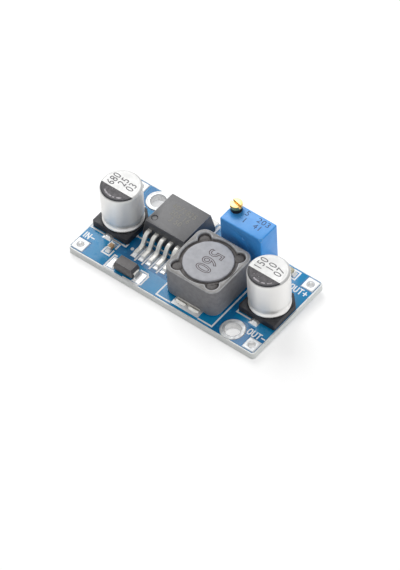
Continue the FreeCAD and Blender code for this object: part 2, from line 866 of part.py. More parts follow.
def make_core():
    top = shield_top - core_below_shield_top
    flange_bottom = top - flange_thickness
    lower_top = shield_bottom + lower_flange_thickness
    upper = disc(inductor_x, inductor_y, flange_diameter, flange_bottom, top)
    post = disc(inductor_x, inductor_y, core_post_diameter, shield_bottom, top)
    lower = disc(inductor_x, inductor_y, flange_diameter, shield_bottom, lower_top)
    return upper.fuse([post, lower]).removeSplitter()


def make_winding():
    low = shield_bottom + lower_flange_thickness
    high = shield_top - core_below_shield_top - flange_thickness
    ring = disc(inductor_x, inductor_y, winding_outer_diameter, low, high - winding_gap)
    hole = disc(inductor_x, inductor_y, core_post_diameter, low, high)
    return ring.cut(hole)


def make_adhesive():
    high = shield_top - adhesive_below_shield_top
    low = high - adhesive_thickness
    ring = disc(inductor_x, inductor_y, shield_bore_diameter, low, high)
    floor = shield_top - pocket_depth
    fill = floor + pocket_adhesive_thickness
    lobes = [disc(x, y, pocket_diameter, floor, fill) for x, y in pocket_places()]
    flange = disc(inductor_x, inductor_y, flange_diameter, low - overcut, high + overcut)
    return ring.fuse(lobes).cut(flange).removeSplitter()


def make_inductor_clip(side):
    face = inductor_size / 2
    half = inductor_clip_width / 2
    thickness = inductor_clip_thickness

    def across(a, b, x0, x1, z1):
        y0 = inductor_y + side * a
        y1 = inductor_y + side * b
        return box(inductor_x + x0, inductor_x + x1, min(y0, y1), max(y0, y1), pad_top, z1)
    plate = across(face - inductor_clip_under, face + thickness, -half, half, shield_bottom)
    pieces = [across(face, face + thickness, -half, half, shield_bottom + inductor_clip_lip)]
    tip = inductor_y + side * (face + inductor_foot_reach)
    for way in (-1, 1):
        outer = way * (half + inductor_foot_overlap / 2)
        inner = outer - way * inductor_foot_width
        low, high = min(outer, inner), max(outer, inner)
        foot = across(face - thickness, face + inductor_foot_reach, low, high, shield_bottom)
        corners = [e for e in upright_edges(foot) if abs(e.CenterOfMass.y - tip) < 1e-6]
        pieces.append(foot.makeFillet(inductor_foot_reach / 2, corners))
    return plate.fuse(pieces).removeSplitter()


def make_inductor():
    save("inductor_shield", make_shield())
    save("inductor_core", make_core())
    save("inductor_winding", make_winding())
    save("inductor_adhesive", make_adhesive())
    save("inductor_front_terminal", make_inductor_clip(-1))
    save("inductor_back_terminal", make_inductor_clip(1))


# Diode: moulded body and two leads folded under its ends

diode_bottom = pad_top + diode_underside_gap


def make_diode_lead(side):
    z = pad_top + diode_parting_height
    low = pad_top + diode_lead_thickness / 2
    end = diode_length / 2
    outer = end + diode_lead_reach - diode_lead_thickness / 2
    points = [(end - diode_lead_root, z), (outer, z), (outer, low), (outer - diode_lead_under, low)]
    start_y = diode_y - diode_lead_width / 2

    def to_space(point):
        return Vector(diode_x + side * point[0], start_y, point[1])
    across = Vector(0, diode_lead_width, 0)
    return bent_strip(points, diode_lead_bend_radius, diode_lead_thickness, to_space, across)


def make_diode_body(leads):
    x0, x1 = diode_x - diode_length / 2, diode_x + diode_length / 2
    y0, y1 = diode_y - diode_width / 2, diode_y + diode_width / 2
    middle = pad_top + diode_parting_height
    top = pad_top + diode_height
    under = diode_under_draft
    upper = tapered_block(x0, x1, y0, y1, middle, top, diode_top_draft, diode_top_draft)
    low_wire = rectangle_wire(x0 + under, x1 - under, y0 + under, y1 - under, diode_bottom)
    lower = Part.makeLoft([low_wire, rectangle_wire(x0, x1, y0, y1, middle)], True, True)
    notch_length = diode_lead_under + diode_lead_thickness
    notch_top = pad_top + diode_lead_thickness
    notches = []
    for side in (-1, 1):
        inner = side * (diode_length / 2 - notch_length)
        outer = side * (diode_length / 2)
        notches.append(box(diode_x + min(inner, outer), diode_x + max(inner, outer),
                           y0, y1, pad_top, notch_top))
    return upper.fuse(lower).cut(leads + notches).removeSplitter()


def make_diode():
    left = make_diode_lead(-1)
    right = make_diode_lead(1)
    save("diode_body", make_diode_body([left, right]))
    save("diode_left_lead", left)
    save("diode_right_lead", right)


# Chip parts: a block between two metal ends

def make_chip(name, x, y, height, along_x):
    length = chip_length - 2 * chip_end_length
    wide = chip_width + 2 * chip_end_wrap
    wrap = chip_end_wrap
    body_size = (length, chip_width) if along_x else (chip_width, length)
    low = pad_top + wrap
    save(name + "_body", centred_box(x, y, *body_size, low, low + height))
    ends = []
    for side in (-1, 1):
        offset = side * (chip_length - chip_end_length) / 2
        place = (x + offset, y) if along_x else (x, y + offset)
        size = (chip_end_length, wide) if along_x else (wide, chip_end_length)
        ends.append(centred_box(*place, *size, pad_top, low + height + wrap))
    save(name + "_ends", ends)


def make_lamp():
    low = pad_top + lamp_end_thickness
    top = low + lamp_base_height
    base = centred_box(lamp_x, lamp_y, lamp_length - 2 * lamp_end_thickness, lamp_width, low, top)
    half_length = lamp_length / 2 - lamp_end_length
    half_width = lamp_width / 2
    lens = tapered_block(lamp_x - half_length, lamp_x + half_length, lamp_y - half_width, lamp_y + half_width,
                         top, top + lamp_lens_height, lamp_end_thickness, lamp_end_thickness)
    save("indicator_base", base)
    save("indicator_lens", lens)
    ends = []
    for side in (-1, 1):
        outer = side * lamp_length / 2
        inner = outer - side * lamp_end_length
        x0, x1 = sorted((lamp_x + outer, lamp_x + inner))
        block = box(x0, x1, lamp_y - half_width, lamp_y + half_width, pad_top, top + lamp_end_thickness)
        ends.append(block.cut(base).removeSplitter())
    save("indicator_ends", ends)


# Trimmer: housing, base, resistance element, screw, seal, carriage, contact and pins

trimmer_bottom = mask_top + trimmer_standoff
trimmer_top = trimmer_bottom + trimmer_height
trimmer_left = trimmer_x - trimmer_length / 2
trimmer_right = trimmer_x + trimmer_length / 2
trimmer_front = trimmer_y - trimmer_width / 2
trimmer_back = trimmer_y + trimmer_width / 2
cavity_left = trimmer_left + trimmer_wall
cavity_right = trimmer_right - trimmer_wall
cavity_front = trimmer_front + trimmer_wall
cavity_back = trimmer_back - trimmer_wall
cavity_top = trimmer_top - trimmer_top_wall
base_top = trimmer_bottom + trimmer_base_thickness
screw_x = trimmer_left + screw_inset_x
screw_y = trimmer_back - screw_inset_y
screw_neck_bottom = trimmer_top - screw_neck_below_top
seal_bottom = trimmer_top + seal_to_housing
screw_head_bottom = seal_bottom + seal_height
screw_top = screw_head_bottom + screw_head_thickness
element_back = cavity_front + element_thickness
carriage_front = element_back + contact_gap + contact_tip_height + contact_thickness
carriage_low_limit = base_top + 2 * carriage_clearance
carriage_high_limit = screw_neck_bottom - 2 * carriage_clearance
carriage_middle = (carriage_low_limit + carriage_high_limit) / 2


def make_trimmer_housing():
    block = centred_box(trimmer_x, trimmer_y, trimmer_length, trimmer_width, trimmer_bottom, trimmer_top)
    rounded = upright_edges(block) + edges_at_height(block, trimmer_top)
    block = block.makeFillet(trimmer_edge_radius, rounded)
    cavity = box(cavity_left, cavity_right, cavity_front, cavity_back, trimmer_bottom - overcut, cavity_top)
    neck_hole = screw_neck_diameter + 2 * screw_neck_clearance
    bore = disc(screw_x, screw_y, neck_hole, screw_neck_bottom - carriage_clearance, trimmer_top + overcut)
    dot_x = trimmer_left + moulding_dot_from_left
    dot_z = trimmer_bottom + moulding_dot_above_base
    dot = Part.makeCylinder(moulding_dot_diameter / 2, moulding_dot_depth + overcut,
                            Vector(dot_x, trimmer_front - overcut, dot_z), Vector(0, 1, 0))
    return block.cut([cavity, bore, dot, cut_corner()])


# What is cut off the housing's upper front corner, away from the screw
def cut_corner():
    run = trimmer_corner_cut
    points = [
        Vector(trimmer_right - run, trimmer_front, trimmer_top),
        Vector(trimmer_right, trimmer_front + run, trimmer_top),
        Vector(trimmer_right, trimmer_front, trimmer_top - run),
    ]
    return prism(points, Vector(overcut, -overcut, overcut))


def make_trimmer_base(pins):
    x0, x1 = cavity_left + trimmer_fit, cavity_right - trimmer_fit
    y0, y1 = cavity_front + trimmer_fit, cavity_back - trimmer_fit
    plate = box(x0, x1, y0, y1, trimmer_bottom, base_top)
    feet = []
    half = trimmer_foot_size / 2
    for x in (x0 + half, x1 - half):
        for y in (y0 + half, y1 - half):
            feet.append(centred_box(x, y, trimmer_foot_size, trimmer_foot_size, mask_top, trimmer_bottom))
    pivot_hole = screw_pivot_diameter + 2 * screw_pivot_clearance
    pivot_floor = base_top - screw_pivot_length - screw_pivot_clearance
    pivot = disc(screw_x, screw_y, pivot_hole, pivot_floor, base_top + overcut)
    return plate.fuse(feet).cut([pivot] + pins).removeSplitter()


def make_element():
    gap = element_side_gap
    return box(cavity_left + gap, cavity_right - gap, cavity_front, element_back, base_top, cavity_top)


def make_trimmer_screw():
    head = disc(screw_x, screw_y, screw_head_diameter, screw_head_bottom, screw_top)
    neck = disc(screw_x, screw_y, screw_neck_diameter, screw_neck_bottom, screw_head_bottom)
    shank = disc(screw_x, screw_y, screw_shank_diameter, base_top, screw_neck_bottom)
    pivot = disc(screw_x, screw_y, screw_pivot_diameter, base_top - screw_pivot_length, base_top)
    slot_low = screw_top - screw_slot_depth
    slot_length = screw_head_diameter + overcut
    slot = centred_box(screw_x, screw_y, slot_length, screw_slot_width, slot_low, screw_top + overcut)
    slot.rotate(Vector(screw_x, screw_y, 0), Vector(0, 0, 1), screw_slot_angle)
    return head.fuse([neck, shank, pivot]).cut(slot).removeSplitter()


def make_seal():
    outer = disc(screw_x, screw_y, seal_diameter, seal_bottom, screw_head_bottom)
    inner = disc(screw_x, screw_y, screw_neck_diameter, seal_bottom, screw_head_bottom)
    return outer.cut(inner)


def make_carriage():
    low = carriage_middle - carriage_height / 2
    high = carriage_middle + carriage_height / 2
    back = cavity_back - carriage_clearance
    block = box(screw_x, screw_x + carriage_length, carriage_front, back, low, high)
    channel = disc(screw_x, screw_y, screw_shank_diameter + 2 * carriage_thread_clearance, low, high)
    return block.cut(channel)


def make_contact():
    low = carriage_middle - contact_height / 2
    high = carriage_middle + contact_height / 2
    x0 = screw_x + carriage_length - contact_length
    x1 = screw_x + carriage_length
    y1 = carriage_front
    y0 = y1 - contact_thickness
    tip_y = element_back + contact_gap
    tip_length = 2 * contact_thickness
    strip = box(x0, x1, y0, y1, low, high)
    tip = box(x1 - tip_length, x1, tip_y, y0, low, high)
    return strip.fuse(tip).removeSplitter()


def make_pin(x, y):
    return disc(x, y, pin_diameter, -pin_below_board, base_top + pin_above_base)


def make_trimmer():
    pins = [make_pin(x, y) for x, y in pin_places]
    save("trimmer_housing", make_trimmer_housing())
    save("trimmer_base", make_trimmer_base(pins))
    save("trimmer_element", make_element())
    save("trimmer_screw", make_trimmer_screw())
    save("trimmer_seal", make_seal())
    save("trimmer_carriage", make_carriage())
    save("trimmer_contact", make_contact())
    for number, pin in enumerate(pins, 1):
        save("trimmer_pin_" + str(number), pin)


# Solder: cones round the pins and small fillets at the ends of the leads

def pin_solder(x, y):
    column = disc(x, y, pin_hole_diameter, 0, mask_top)
    cone = Part.makeCone(pin_solder_tip_diameter / 2, pin_ring_diameter / 2, pin_solder_height,
                         Vector(x, y, -pin_solder_height))
    return column.fuse(cone).cut(make_pin(x, y)).removeSplitter()


def toe_fillet(x, y, out_x, out_y, width, length, height):
    side_x, side_y = -out_y * width / 2, out_x * width / 2
    base = Vector(x - side_x, y - side_y, pad_top)
    points = [base, base + Vector(out_x * length, out_y * length, 0), base + Vector(0, 0, height)]
    return prism(points, Vector(2 * side_x, 2 * side_y, 0))


def make_solder():
    solids = [pin_solder(x, y) for x, y in pin_places]
    length = toe_fillet_length
    for x in lead_places:
        solids.append(toe_fillet(x, lead_tip, 0, -1, lead_width, length, toe_fillet_height))
    for x in (input_capacitor_x, output_capacitor_x):
        for side in (-1, 1):
            y = capacitor_offset_y + side * (capacitor_base_size / 2 + capacitor_terminal_reach)
            size = (capacitor_terminal_width, length, capacitor_terminal_thickness)
            solids.append(toe_fillet(x, y, 0, side, *size))
    for side in (-1, 1):
        x = diode_x + side * (diode_length / 2 + diode_lead_reach)
        solids.append(toe_fillet(x, diode_y, side, 0, diode_lead_width, length, diode_fillet_height))
        chip = chip_length / 2
        size = (chip_width, chip_fillet_length, chip_fillet_height)
        solids.append(toe_fillet(ceramic_x, ceramic_y + side * chip, 0, side, *size))
        solids.append(toe_fillet(resistor_x + side * chip, resistor_y, side, 0, *size))
        lamp_end = lamp_x + side * lamp_length / 2
        solids.append(toe_fillet(lamp_end, lamp_y, side, 0, lamp_width, chip_fillet_length, lamp_base_height))
    return solids


def main():
    os.makedirs("parts", exist_ok=True)
    print("board", round(board_length, 3), "by", round(board_width, 3))
    save("circuit_board", make_board())
    save("solder_mask_top", make_mask(True))
    save("solder_mask_underside", make_mask(False))
    save("mounting_hole_rings", make_mounting_rings())
    for name, (x, y) in wire_pads.items():
        save(name, make_wire_pad(x, y))
    save("component_pads", make_component_pads())
    save("legend_print", make_legend())
    save("solder_joints", make_solder())
    make_capacitor("input_capacitor", input_capacitor_x)
    make_capacitor("output_capacitor", output_capacitor_x)
    make_regulator()
    make_inductor()
    make_diode()
    make_chip("ceramic_capacitor", ceramic_x, ceramic_y, chip_height, False)
    make_chip("feedback_resistor", resistor_x, resistor_y, resistor_height, True)
    make_lamp()
    make_trimmer()


main()
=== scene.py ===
# Buck converter module: looks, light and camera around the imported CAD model
import math
from types import SimpleNamespace

import bmesh
import bpy
from mathutils import Matrix, Vector, noise


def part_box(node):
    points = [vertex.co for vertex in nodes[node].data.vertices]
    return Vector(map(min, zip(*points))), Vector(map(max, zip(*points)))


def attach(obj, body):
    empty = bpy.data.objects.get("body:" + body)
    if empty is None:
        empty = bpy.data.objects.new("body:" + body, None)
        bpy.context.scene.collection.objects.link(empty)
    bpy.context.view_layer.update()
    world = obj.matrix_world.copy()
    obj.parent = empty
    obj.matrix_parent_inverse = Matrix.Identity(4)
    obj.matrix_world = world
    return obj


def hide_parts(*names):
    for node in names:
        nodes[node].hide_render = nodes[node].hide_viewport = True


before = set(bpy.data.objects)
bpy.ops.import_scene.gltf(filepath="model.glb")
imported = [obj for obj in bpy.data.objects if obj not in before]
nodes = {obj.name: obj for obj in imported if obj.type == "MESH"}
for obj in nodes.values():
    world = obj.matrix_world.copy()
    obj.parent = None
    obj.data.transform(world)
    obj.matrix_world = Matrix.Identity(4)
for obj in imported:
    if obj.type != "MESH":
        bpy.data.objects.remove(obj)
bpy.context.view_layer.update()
mm = 0.001
landTop = 1.66  # upper face of the tinned lands, in mm
finishes = {}


# Small tools

def hexToLinear(code):
    parts = [int(code[i:i + 2], 16) / 255 for i in (1, 3, 5)]
    lin = [p / 12.92 if p <= 0.04045 else ((p + 0.055) / 1.055) ** 2.4 for p in parts]
    return (*lin, 1.0)


def perMetre(sizeInMm):
    return 1 / (sizeInMm * mm)  # pattern scale that gives features of that size


# Adds a node. An input is a constant, a hex tone, a socket, or a node, which gives its first output
def addNode(tree, kind, settings=None, **inputs):
    node = tree.nodes.new(kind)
    for key, value in (settings or {}).items():
        setattr(node, key, value)
    for key, value in inputs.items():
        socket = node.inputs[int(key[1:])] if key[0] == "_" else node.inputs[key.replace("_", " ")]
        if isinstance(value, str):
            value = hexToLinear(value)
        if isinstance(value, bpy.types.Node):
            value = value.outputs[0]
        if isinstance(value, bpy.types.NodeSocket):
            tree.links.new(value, socket)
        else:
            socket.default_value = value
    return node


def startMaterial(name):
    finishes[name] = bpy.data.materials.new(name)
    finishes[name].use_nodes = True
    tree = finishes[name].node_tree
    tree.nodes.clear()
    return tree, addNode(tree, "ShaderNodeTexCoord").outputs["Object"]


# A node's box in mm: its middle seen from above, half its width, its foot and its top
def boxOf(node):
    low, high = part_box(node)
    return SimpleNamespace(middle=((low.x + high.x) / 2 / mm, (low.y + high.y) / 2 / mm),
                           half=(high.x - low.x) / 2 / mm, foot=low.z / mm, top=high.z / mm)


def newObject(name, data):
    added = bpy.data.objects.new(name, data)
    bpy.context.scene.collection.objects.link(added)
    return added


def evaluatedMesh(holder):
    bpy.context.view_layer.update()
    graph = bpy.context.evaluated_depsgraph_get()
    return bpy.data.meshes.new_from_object(holder.evaluated_get(graph))


# A piece from a bmesh. Of up to three finishes the second and third are for faces marked 1 and 2
def makePiece(name, bm, finish, replaces=(), smoothAngle=40, body="root"):
    mesh = bpy.data.meshes.new(name)
    bm.to_mesh(mesh)
    bm.free()
    mesh.shade_smooth()
    mesh.set_sharp_from_angle(angle=math.radians(smoothAngle))
    piece = newObject(name, mesh)
    for finishName in (finish if isinstance(finish, tuple) else (finish,)):
        mesh.materials.append(finishes[finishName])
    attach(piece, body)
    if replaces:
        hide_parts(*replaces)
    return piece


def faceOutwards(bm):
    bmesh.ops.recalc_face_normals(bm, faces=bm.faces)


# Adds a mesh, or a second bmesh, to a bmesh and clears it away
def joinMesh(bm, extra):
    mesh = extra
    if isinstance(extra, bmesh.types.BMesh):
        mesh = bpy.data.meshes.new("patch")
        extra.to_mesh(mesh)
        extra.free()
    bm.from_mesh(mesh)
    bpy.data.meshes.remove(mesh)


def nodeBmesh(node):
    source = nodes[node].data
    bm = bmesh.new()
    corners = [bm.verts.new(v.co) for v in source.vertices]
    for polygon in source.polygons:
        try:
            bm.faces.new([corners[i] for i in polygon.vertices])
        except ValueError:
            continue
    bmesh.ops.remove_doubles(bm, verts=bm.verts, dist=2e-6)
    bmesh.ops.dissolve_limit(bm, angle_limit=math.radians(1.5), verts=bm.verts, edges=bm.edges)
    return bm


def softenEdges(bm, width, angle=32, segments=2, mark=-1):
    sharp = []
    for edge in bm.edges:
        if len(edge.link_faces) == 2 and edge.calc_face_angle(0) > math.radians(angle):
            sharp.append(edge)
    bmesh.ops.bevel(bm, geom=sharp, offset=width * mm, segments=segments, profile=0.5,
                    affect="EDGES", clamp_overlap=False, material=mark)


# A piece with the node's shape and soft edges, which get the second finish if there is one
def softCopy(name, node, finish, width, slot, segments=2, body="root"):
    bm = nodeBmesh(node)
    softenEdges(bm, width, segments=segments, mark=1 if isinstance(finish, tuple) else -1)
    makePiece(name, bm, finish, (node,), body=body)


def arcProfile(r, z, radius, start, end, steps):
    points = []
    for i in range(steps + 1):
        angle = math.radians(start + (end - start) * i / steps)
        points.append((r + radius * math.cos(angle), z + radius * math.sin(angle)))
    return points


# Turns a profile of (radius, height) pairs in mm round an upright axis
def latheBmesh(profile, centre, segments, closed=False, wobble=None):
    bm = bmesh.new()
    rings = []
    for r, z in profile:
        ring = []
        if r < 1e-6:
            ring = [bm.verts.new((centre[0] * mm, centre[1] * mm, z * mm))] * segments
        else:
            for i in range(segments):
                angle = 2 * math.pi * i / segments
                rr, zz = (r, z) if wobble is None else wobble(r, z, angle)
                x = centre[0] + rr * math.cos(angle)
                y = centre[1] + rr * math.sin(angle)
                ring.append(bm.verts.new((x * mm, y * mm, zz * mm)))
        rings.append(ring)
    pairs = list(zip(rings, rings[1:]))
    if closed:
        pairs.append((rings[-1], rings[0]))
    for low, high in pairs:
        for i in range(segments):
            j = (i + 1) % segments
            corners = []
            for vert in (low[i], low[j], high[j], high[i]):
                if vert not in corners:
                    corners.append(vert)
            if len(corners) > 2:
                bm.faces.new(corners)
    faceOutwards(bm)
    return bm


# A flat shape of ink or metal: the outline in mm is raised from z0 to z1
def platePiece(name, outlines, z0, z1, finish, bevel=0.0, replaces=()):
    bm = bmesh.new()
    for outline in outlines:
        low = [bm.verts.new((x * mm, y * mm, z0 * mm)) for x, y in outline]
        face = bm.faces.new(low)
        grown = bmesh.ops.extrude_face_region(bm, geom=[face])
        top = [item for item in grown["geom"] if isinstance(item, bmesh.types.BMVert)]
        bmesh.ops.translate(bm, verts=top, vec=(0, 0, (z1 - z0) * mm))
    faceOutwards(bm)
    if bevel:
        high = z1 * mm - 1e-7
        edges = [e for e in bm.edges if min(v.co.z for v in e.verts) > high]
        bmesh.ops.bevel(bm, geom=edges, offset=bevel * mm, segments=3, profile=0.5,
                        affect="EDGES", clamp_overlap=True)
    return makePiece(name, bm, finish, replaces)


# Plain figures laid on a surface, as a piece. Marks are (text, x, y) from the centre, size is height,
# stretch and thickness, and turn is the reading direction in degrees from the x axis
def makeFigures(name, marks, centre, z, size, turn, finish, outlined=False):
    height, stretch, thickness = size
    joined = bmesh.new()
    for text, dx, dy in marks:
        curve = bpy.data.curves.new(name + "Text", "FONT")
        curve.body = text
        curve.size = height * mm / 0.7  # the font's capitals are about 0.7 of its size
        curve.align_x = "CENTER"
        curve.align_y = "CENTER"
        curve.space_character = 1.08
        curve.resolution_u = 4
        if outlined:
            curve.fill_mode = "NONE"
            curve.bevel_depth = thickness * mm / 2
            curve.bevel_resolution = 1
        else:
            curve.extrude = thickness * mm / 2
        holder = newObject(name + "Text", curve)
        flat = evaluatedMesh(holder)
        turned = Matrix.Rotation(math.radians(turn), 4, "Z") @ Matrix.Diagonal((stretch, 1, 1, 1))
        flat.transform(Matrix.Translation(Vector((centre[0] + dx, centre[1] + dy, z)) * mm) @ turned)
        joinMesh(joined, flat)
        bpy.data.objects.remove(holder)
        bpy.data.curves.remove(curve)
    bmesh.ops.remove_doubles(joined, verts=joined.verts, dist=1e-7)
    return makePiece(name, joined, finish)


# Materials

# One finish from a real surface: two tones in broad patches, a range of roughness and a fine relief.
# Flecks are (size in mm, how far one reaches in its cell, share of cells left bare, tone)
def makeFinish(name, tone, tone2, patch, rough, rough2, grain, relief, metallic=0.0, specular=0.5,
               coat=0.0, coatRough=0.1, stretch=(1, 1, 1), flecks=None, weave=0):
    tree, place = startMaterial(name)
    along = addNode(tree, "ShaderNodeMapping", Vector=place, Scale=stretch)
    broad = addNode(tree, "ShaderNodeTexNoise", Vector=along, Scale=perMetre(patch), Detail=3.0)
    fine = addNode(tree, "ShaderNodeTexNoise", Vector=along, Scale=perMetre(grain), Detail=2.0)
    share = addNode(tree, "ShaderNodeMapRange", _0=broad, _1=0.35, _2=0.65)
    colour = addNode(tree, "ShaderNodeMix", {"data_type": "RGBA"}, _0=share, _6=tone, _7=tone2).outputs[2]
    if flecks:
        size, reach, bare, fleckTone = flecks
        cells = addNode(tree, "ShaderNodeTexVoronoi", Vector=along, Scale=perMetre(size))
        inside = addNode(tree, "ShaderNodeMapRange", _0=cells.outputs["Distance"], _1=reach, _2=reach * 0.6)
        chosen = addNode(tree, "ShaderNodeMath", {"operation": "GREATER_THAN"}, _0=cells.outputs["Color"],
                         _1=bare)
        amount = addNode(tree, "ShaderNodeMath", {"operation": "MULTIPLY"}, _0=inside, _1=chosen)
        colour = addNode(tree, "ShaderNodeMix", {"data_type": "RGBA"}, _0=amount, _6=colour,
                         _7=fleckTone).outputs[2]
    height = fine
    if weave:
        threads = []
        for direction in ("X", "Y"):
            wave = addNode(tree, "ShaderNodeTexWave", {"bands_direction": direction}, Vector=along,
                           Scale=perMetre(weave) / 20, Distortion=0.6)
            threads.append(wave.outputs["Fac"])
        woven = addNode(tree, "ShaderNodeMath", {"operation": "MAXIMUM"}, _0=threads[0], _1=threads[1])
        height = addNode(tree, "ShaderNodeMath", {"operation": "MULTIPLY_ADD"}, _0=woven, _1=0.4, _2=fine)
    sheen = addNode(tree, "ShaderNodeMapRange", _0=fine, _1=0.3, _2=0.7, _3=rough, _4=rough2)
    bumps = addNode(tree, "ShaderNodeBump", Height=height, Distance=relief * mm)
    shader = addNode(tree, "ShaderNodeBsdfPrincipled", Base_Color=colour, Roughness=sheen, Normal=bumps,
                     Metallic=metallic, Specular_IOR_Level=specular, Coat_Weight=coat,
                     Coat_Roughness=coatRough)
    addNode(tree, "ShaderNodeOutputMaterial", Surface=shader)


# routed glass-fibre board: pale, faintly shiny, fibrous along the edge
makeFinish("routedLaminate", "#FAFCFA", "#ECF0EE", 0.9, 0.5, 0.68, 0.12, 0.012, specular=1.0, coat=0.6,
           stretch=(0.35, 0.35, 3.0), flecks=(0.35, 0.3, 0.6, "#D0D5D1"))
# hot tin levelled over copper: bright and soft, with slight waves
makeFinish("levelledTin", "#DFE1E2", "#D2D5D7", 0.9, 0.42, 0.54, 0.6, 0.004, metallic=0.45)
# the plated wall of the mounting holes: it mirrors the paper below
makeFinish("platedBarrel", "#EFEFEF", "#E2E2E2", 0.5, 0.34, 0.44, 0.2, 0.003, metallic=0.6)
# the skin of the small wire holes: the brightest tin, it throws the paper's light up
makeFinish("brightBarrel", "#F6F6F6", "#EAEAEA", 0.5, 0.28, 0.36, 0.2, 0.003, metallic=0.95)
# the same tin handled and dulled on the mounting rings
makeFinish("dulledTin", "#C6C8C9", "#AEB0B2", 0.8, 0.34, 0.5, 0.6, 0.004, metallic=0.6)
# tin on stamped leads: it mirrors more than the lands
makeFinish("platedLeads", "#E6E5E1", "#D4D3CE", 1.1, 0.3, 0.42, 0.3, 0.003, metallic=0.75)
# tin on the regulator's legs: a paler, less mirroring copy of the lead tin, painted light on the legs
makeFinish("freshTin", "#F3F2ED", "#E4E3DD", 1.1, 0.34, 0.46, 0.3, 0.003, metallic=0.5)
# matt tin on the clips' lips: it hardly mirrors the dark shell, and its pale tone is painted light in the
# shell's shade
makeFinish("mattTin", "#F6F4EF", "#E6E3DC", 0.8, 0.4, 0.55, 0.3, 0.003, metallic=0.1)
# solder that froze in place: bright, with broad ripples
makeFinish("frozenSolder", "#E3E5E6", "#D0D2D4", 0.6, 0.26, 0.4, 0.5, 0.012, metallic=0.65)
# screen print: white ink with a soft grain
makeFinish("screenInk", "#FFFFFF", "#F7FBFF", 0.8, 0.45, 0.6, 0.1, 0.003, specular=1.0)
# drawn aluminium cup: satin, with very fine upright lines and faint smudges
makeFinish("drawnAluminium", "#FAF9F7", "#F1F0EE", 3.0, 0.46, 0.58, 0.16, 0.0008, metallic=0.73,
           stretch=(1, 1, 0.05))
# the cup's lacquered top: pale and silky
makeFinish("lacqueredTop", "#D8D8D7", "#CDCDCC", 1.6, 0.35, 0.5, 0.3, 0.0008, metallic=0.25)
# dark ink on the can's top: glossy, cloudy, with pale flecks where it chipped
makeFinish("canInk", "#4C484D", "#2A262B", 0.7, 0.25, 0.4, 0.25, 0.004, specular=0.3,
           flecks=(0.32, 0.22, 0.82, "#BDBABC"))
# painted reflection on the top's ridge: the same ink made paler and half metallic, in patches
makeFinish("inkRidgeGlint", "#8F8B8F", "#605C60", 0.3, 0.3, 0.45, 0.2, 0.003, metallic=0.3)
# stamp ink of the can's figures: dark and dull
makeFinish("stampInk", "#4E4B50", "#626065", 0.3, 0.5, 0.6, 0.1, 0.002)
# glass-filled plastic of the capacitor's plinth: black and dull, with grey specks
makeFinish("filledPlastic", "#1F1F24", "#28282E", 0.8, 0.42, 0.6, 0.15, 0.005,
           flecks=(0.2, 0.25, 0.8, "#3A3A40"))
# black epoxy, dull and lightly bloomed as it leaves the mould
makeFinish("mouldedEpoxy", "#434346", "#3A3A3D", 0.7, 0.42, 0.55, 0.12, 0.010, specular=0.9,
           flecks=(0.16, 0.3, 0.75, "#6B6B6D"))
# painted highlight on the softened edges: the same epoxy, paler
makeFinish("epoxyEdgeHighlight", "#8E8E90", "#76767A", 0.4, 0.4, 0.5, 0.12, 0.006)
# floor of the first-pin dimple: glossy from a polished mould pin
makeFinish("polishedEpoxy", "#303034", "#3A3A3E", 0.5, 0.18, 0.28, 0.2, 0.002)
# laser mark in the epoxy: lighter and warmer
makeFinish("laserMark", "#8C897E", "#7B786E", 0.3, 0.5, 0.6, 0.1, 0.003)
# dark epoxy of the diode: warmer and paler, with light specks
makeFinish("diodeEpoxy", "#6A6767", "#5D5A5A", 0.6, 0.38, 0.5, 0.12, 0.008,
           flecks=(0.16, 0.3, 0.75, "#6B6868"))
# sintered ferrite with a grey coat: dull, with small pits
makeFinish("coatedFerrite", "#8E8D90", "#807F82", 0.9, 0.42, 0.58, 0.2, 0.010,
           flecks=(0.3, 0.22, 0.75, "#676668"))
# the coat paler along the shell's edges: partly wear, partly a painted edge highlight
makeFinish("ferriteWearAndHighlight", "#C6C7C9", "#AEAFB1", 0.5, 0.4, 0.5, 0.2, 0.008)
# the shell's top face: a paler copy of the coat, painted light from above, with darker mottling
makeFinish("ferriteLitTop", "#A8A6A5", "#8C8A88", 1.3, 0.45, 0.6, 0.2, 0.010,
           flecks=(0.3, 0.22, 0.8, "#777574"))
# ground face of the drum: smoother and paler, with dark pores
makeFinish("groundFerrite", "#B6B7BD", "#A9AAB0", 1.0, 0.38, 0.5, 0.15, 0.005,
           flecks=(0.5, 0.12, 0.8, "#77787D"))
# glue in the ring between drum and shell: grey-brown, wet-looking
makeFinish("curedGlue", "#5C5857", "#4A4645", 0.5, 0.35, 0.5, 0.3, 0.015, specular=0.3)
# ink of the drum's figures: dark and dull
makeFinish("drumInk", "#4A3C40", "#55474A", 0.3, 0.5, 0.6, 0.1, 0.002)
# enamelled copper wire: amber-brown varnish over metal
makeFinish("enamelledWire", "#A8562A", "#8C4420", 0.6, 0.2, 0.3, 0.2, 0.006, metallic=0.6)
# body of the small ceramic capacitor: tan and dull
makeFinish("sinteredCeramic", "#C7A47C", "#AB8659", 0.4, 0.35, 0.5, 0.1, 0.004)
# black glaze on the resistor: smooth and shiny
makeFinish("glazedCeramic", "#26262B", "#1D1D21", 0.4, 0.15, 0.3, 0.1, 0.003)
# fired ceramic under the lamp and the trimmer's track: white and dull
makeFinish("whiteCeramic", "#E8E6DE", "#DCD9CF", 0.5, 0.4, 0.5, 0.1, 0.003)
# sky-blue nylon of the trimmer's box: smooth, with a soft gloss
makeFinish("blueNylon", "#4CADFF", "#44A5FA", 1.5, 0.28, 0.38, 0.25, 0.004)
# painted highlight on the softened edges: the same nylon, paler
makeFinish("nylonEdgeHighlight", "#78BEFC", "#62B2FB", 0.6, 0.3, 0.4, 0.25, 0.003)
# the trimmer's stamped figures, worn thin: dark blue and dull
makeFinish("wornInk", "#12305F", "#1E4884", 0.35, 0.5, 0.6, 0.1, 0.002)
# rubber ring round the screw: black and dull
makeFinish("sealRubber", "#101012", "#18181A", 0.4, 0.5, 0.6, 0.1, 0.004, specular=0.3)
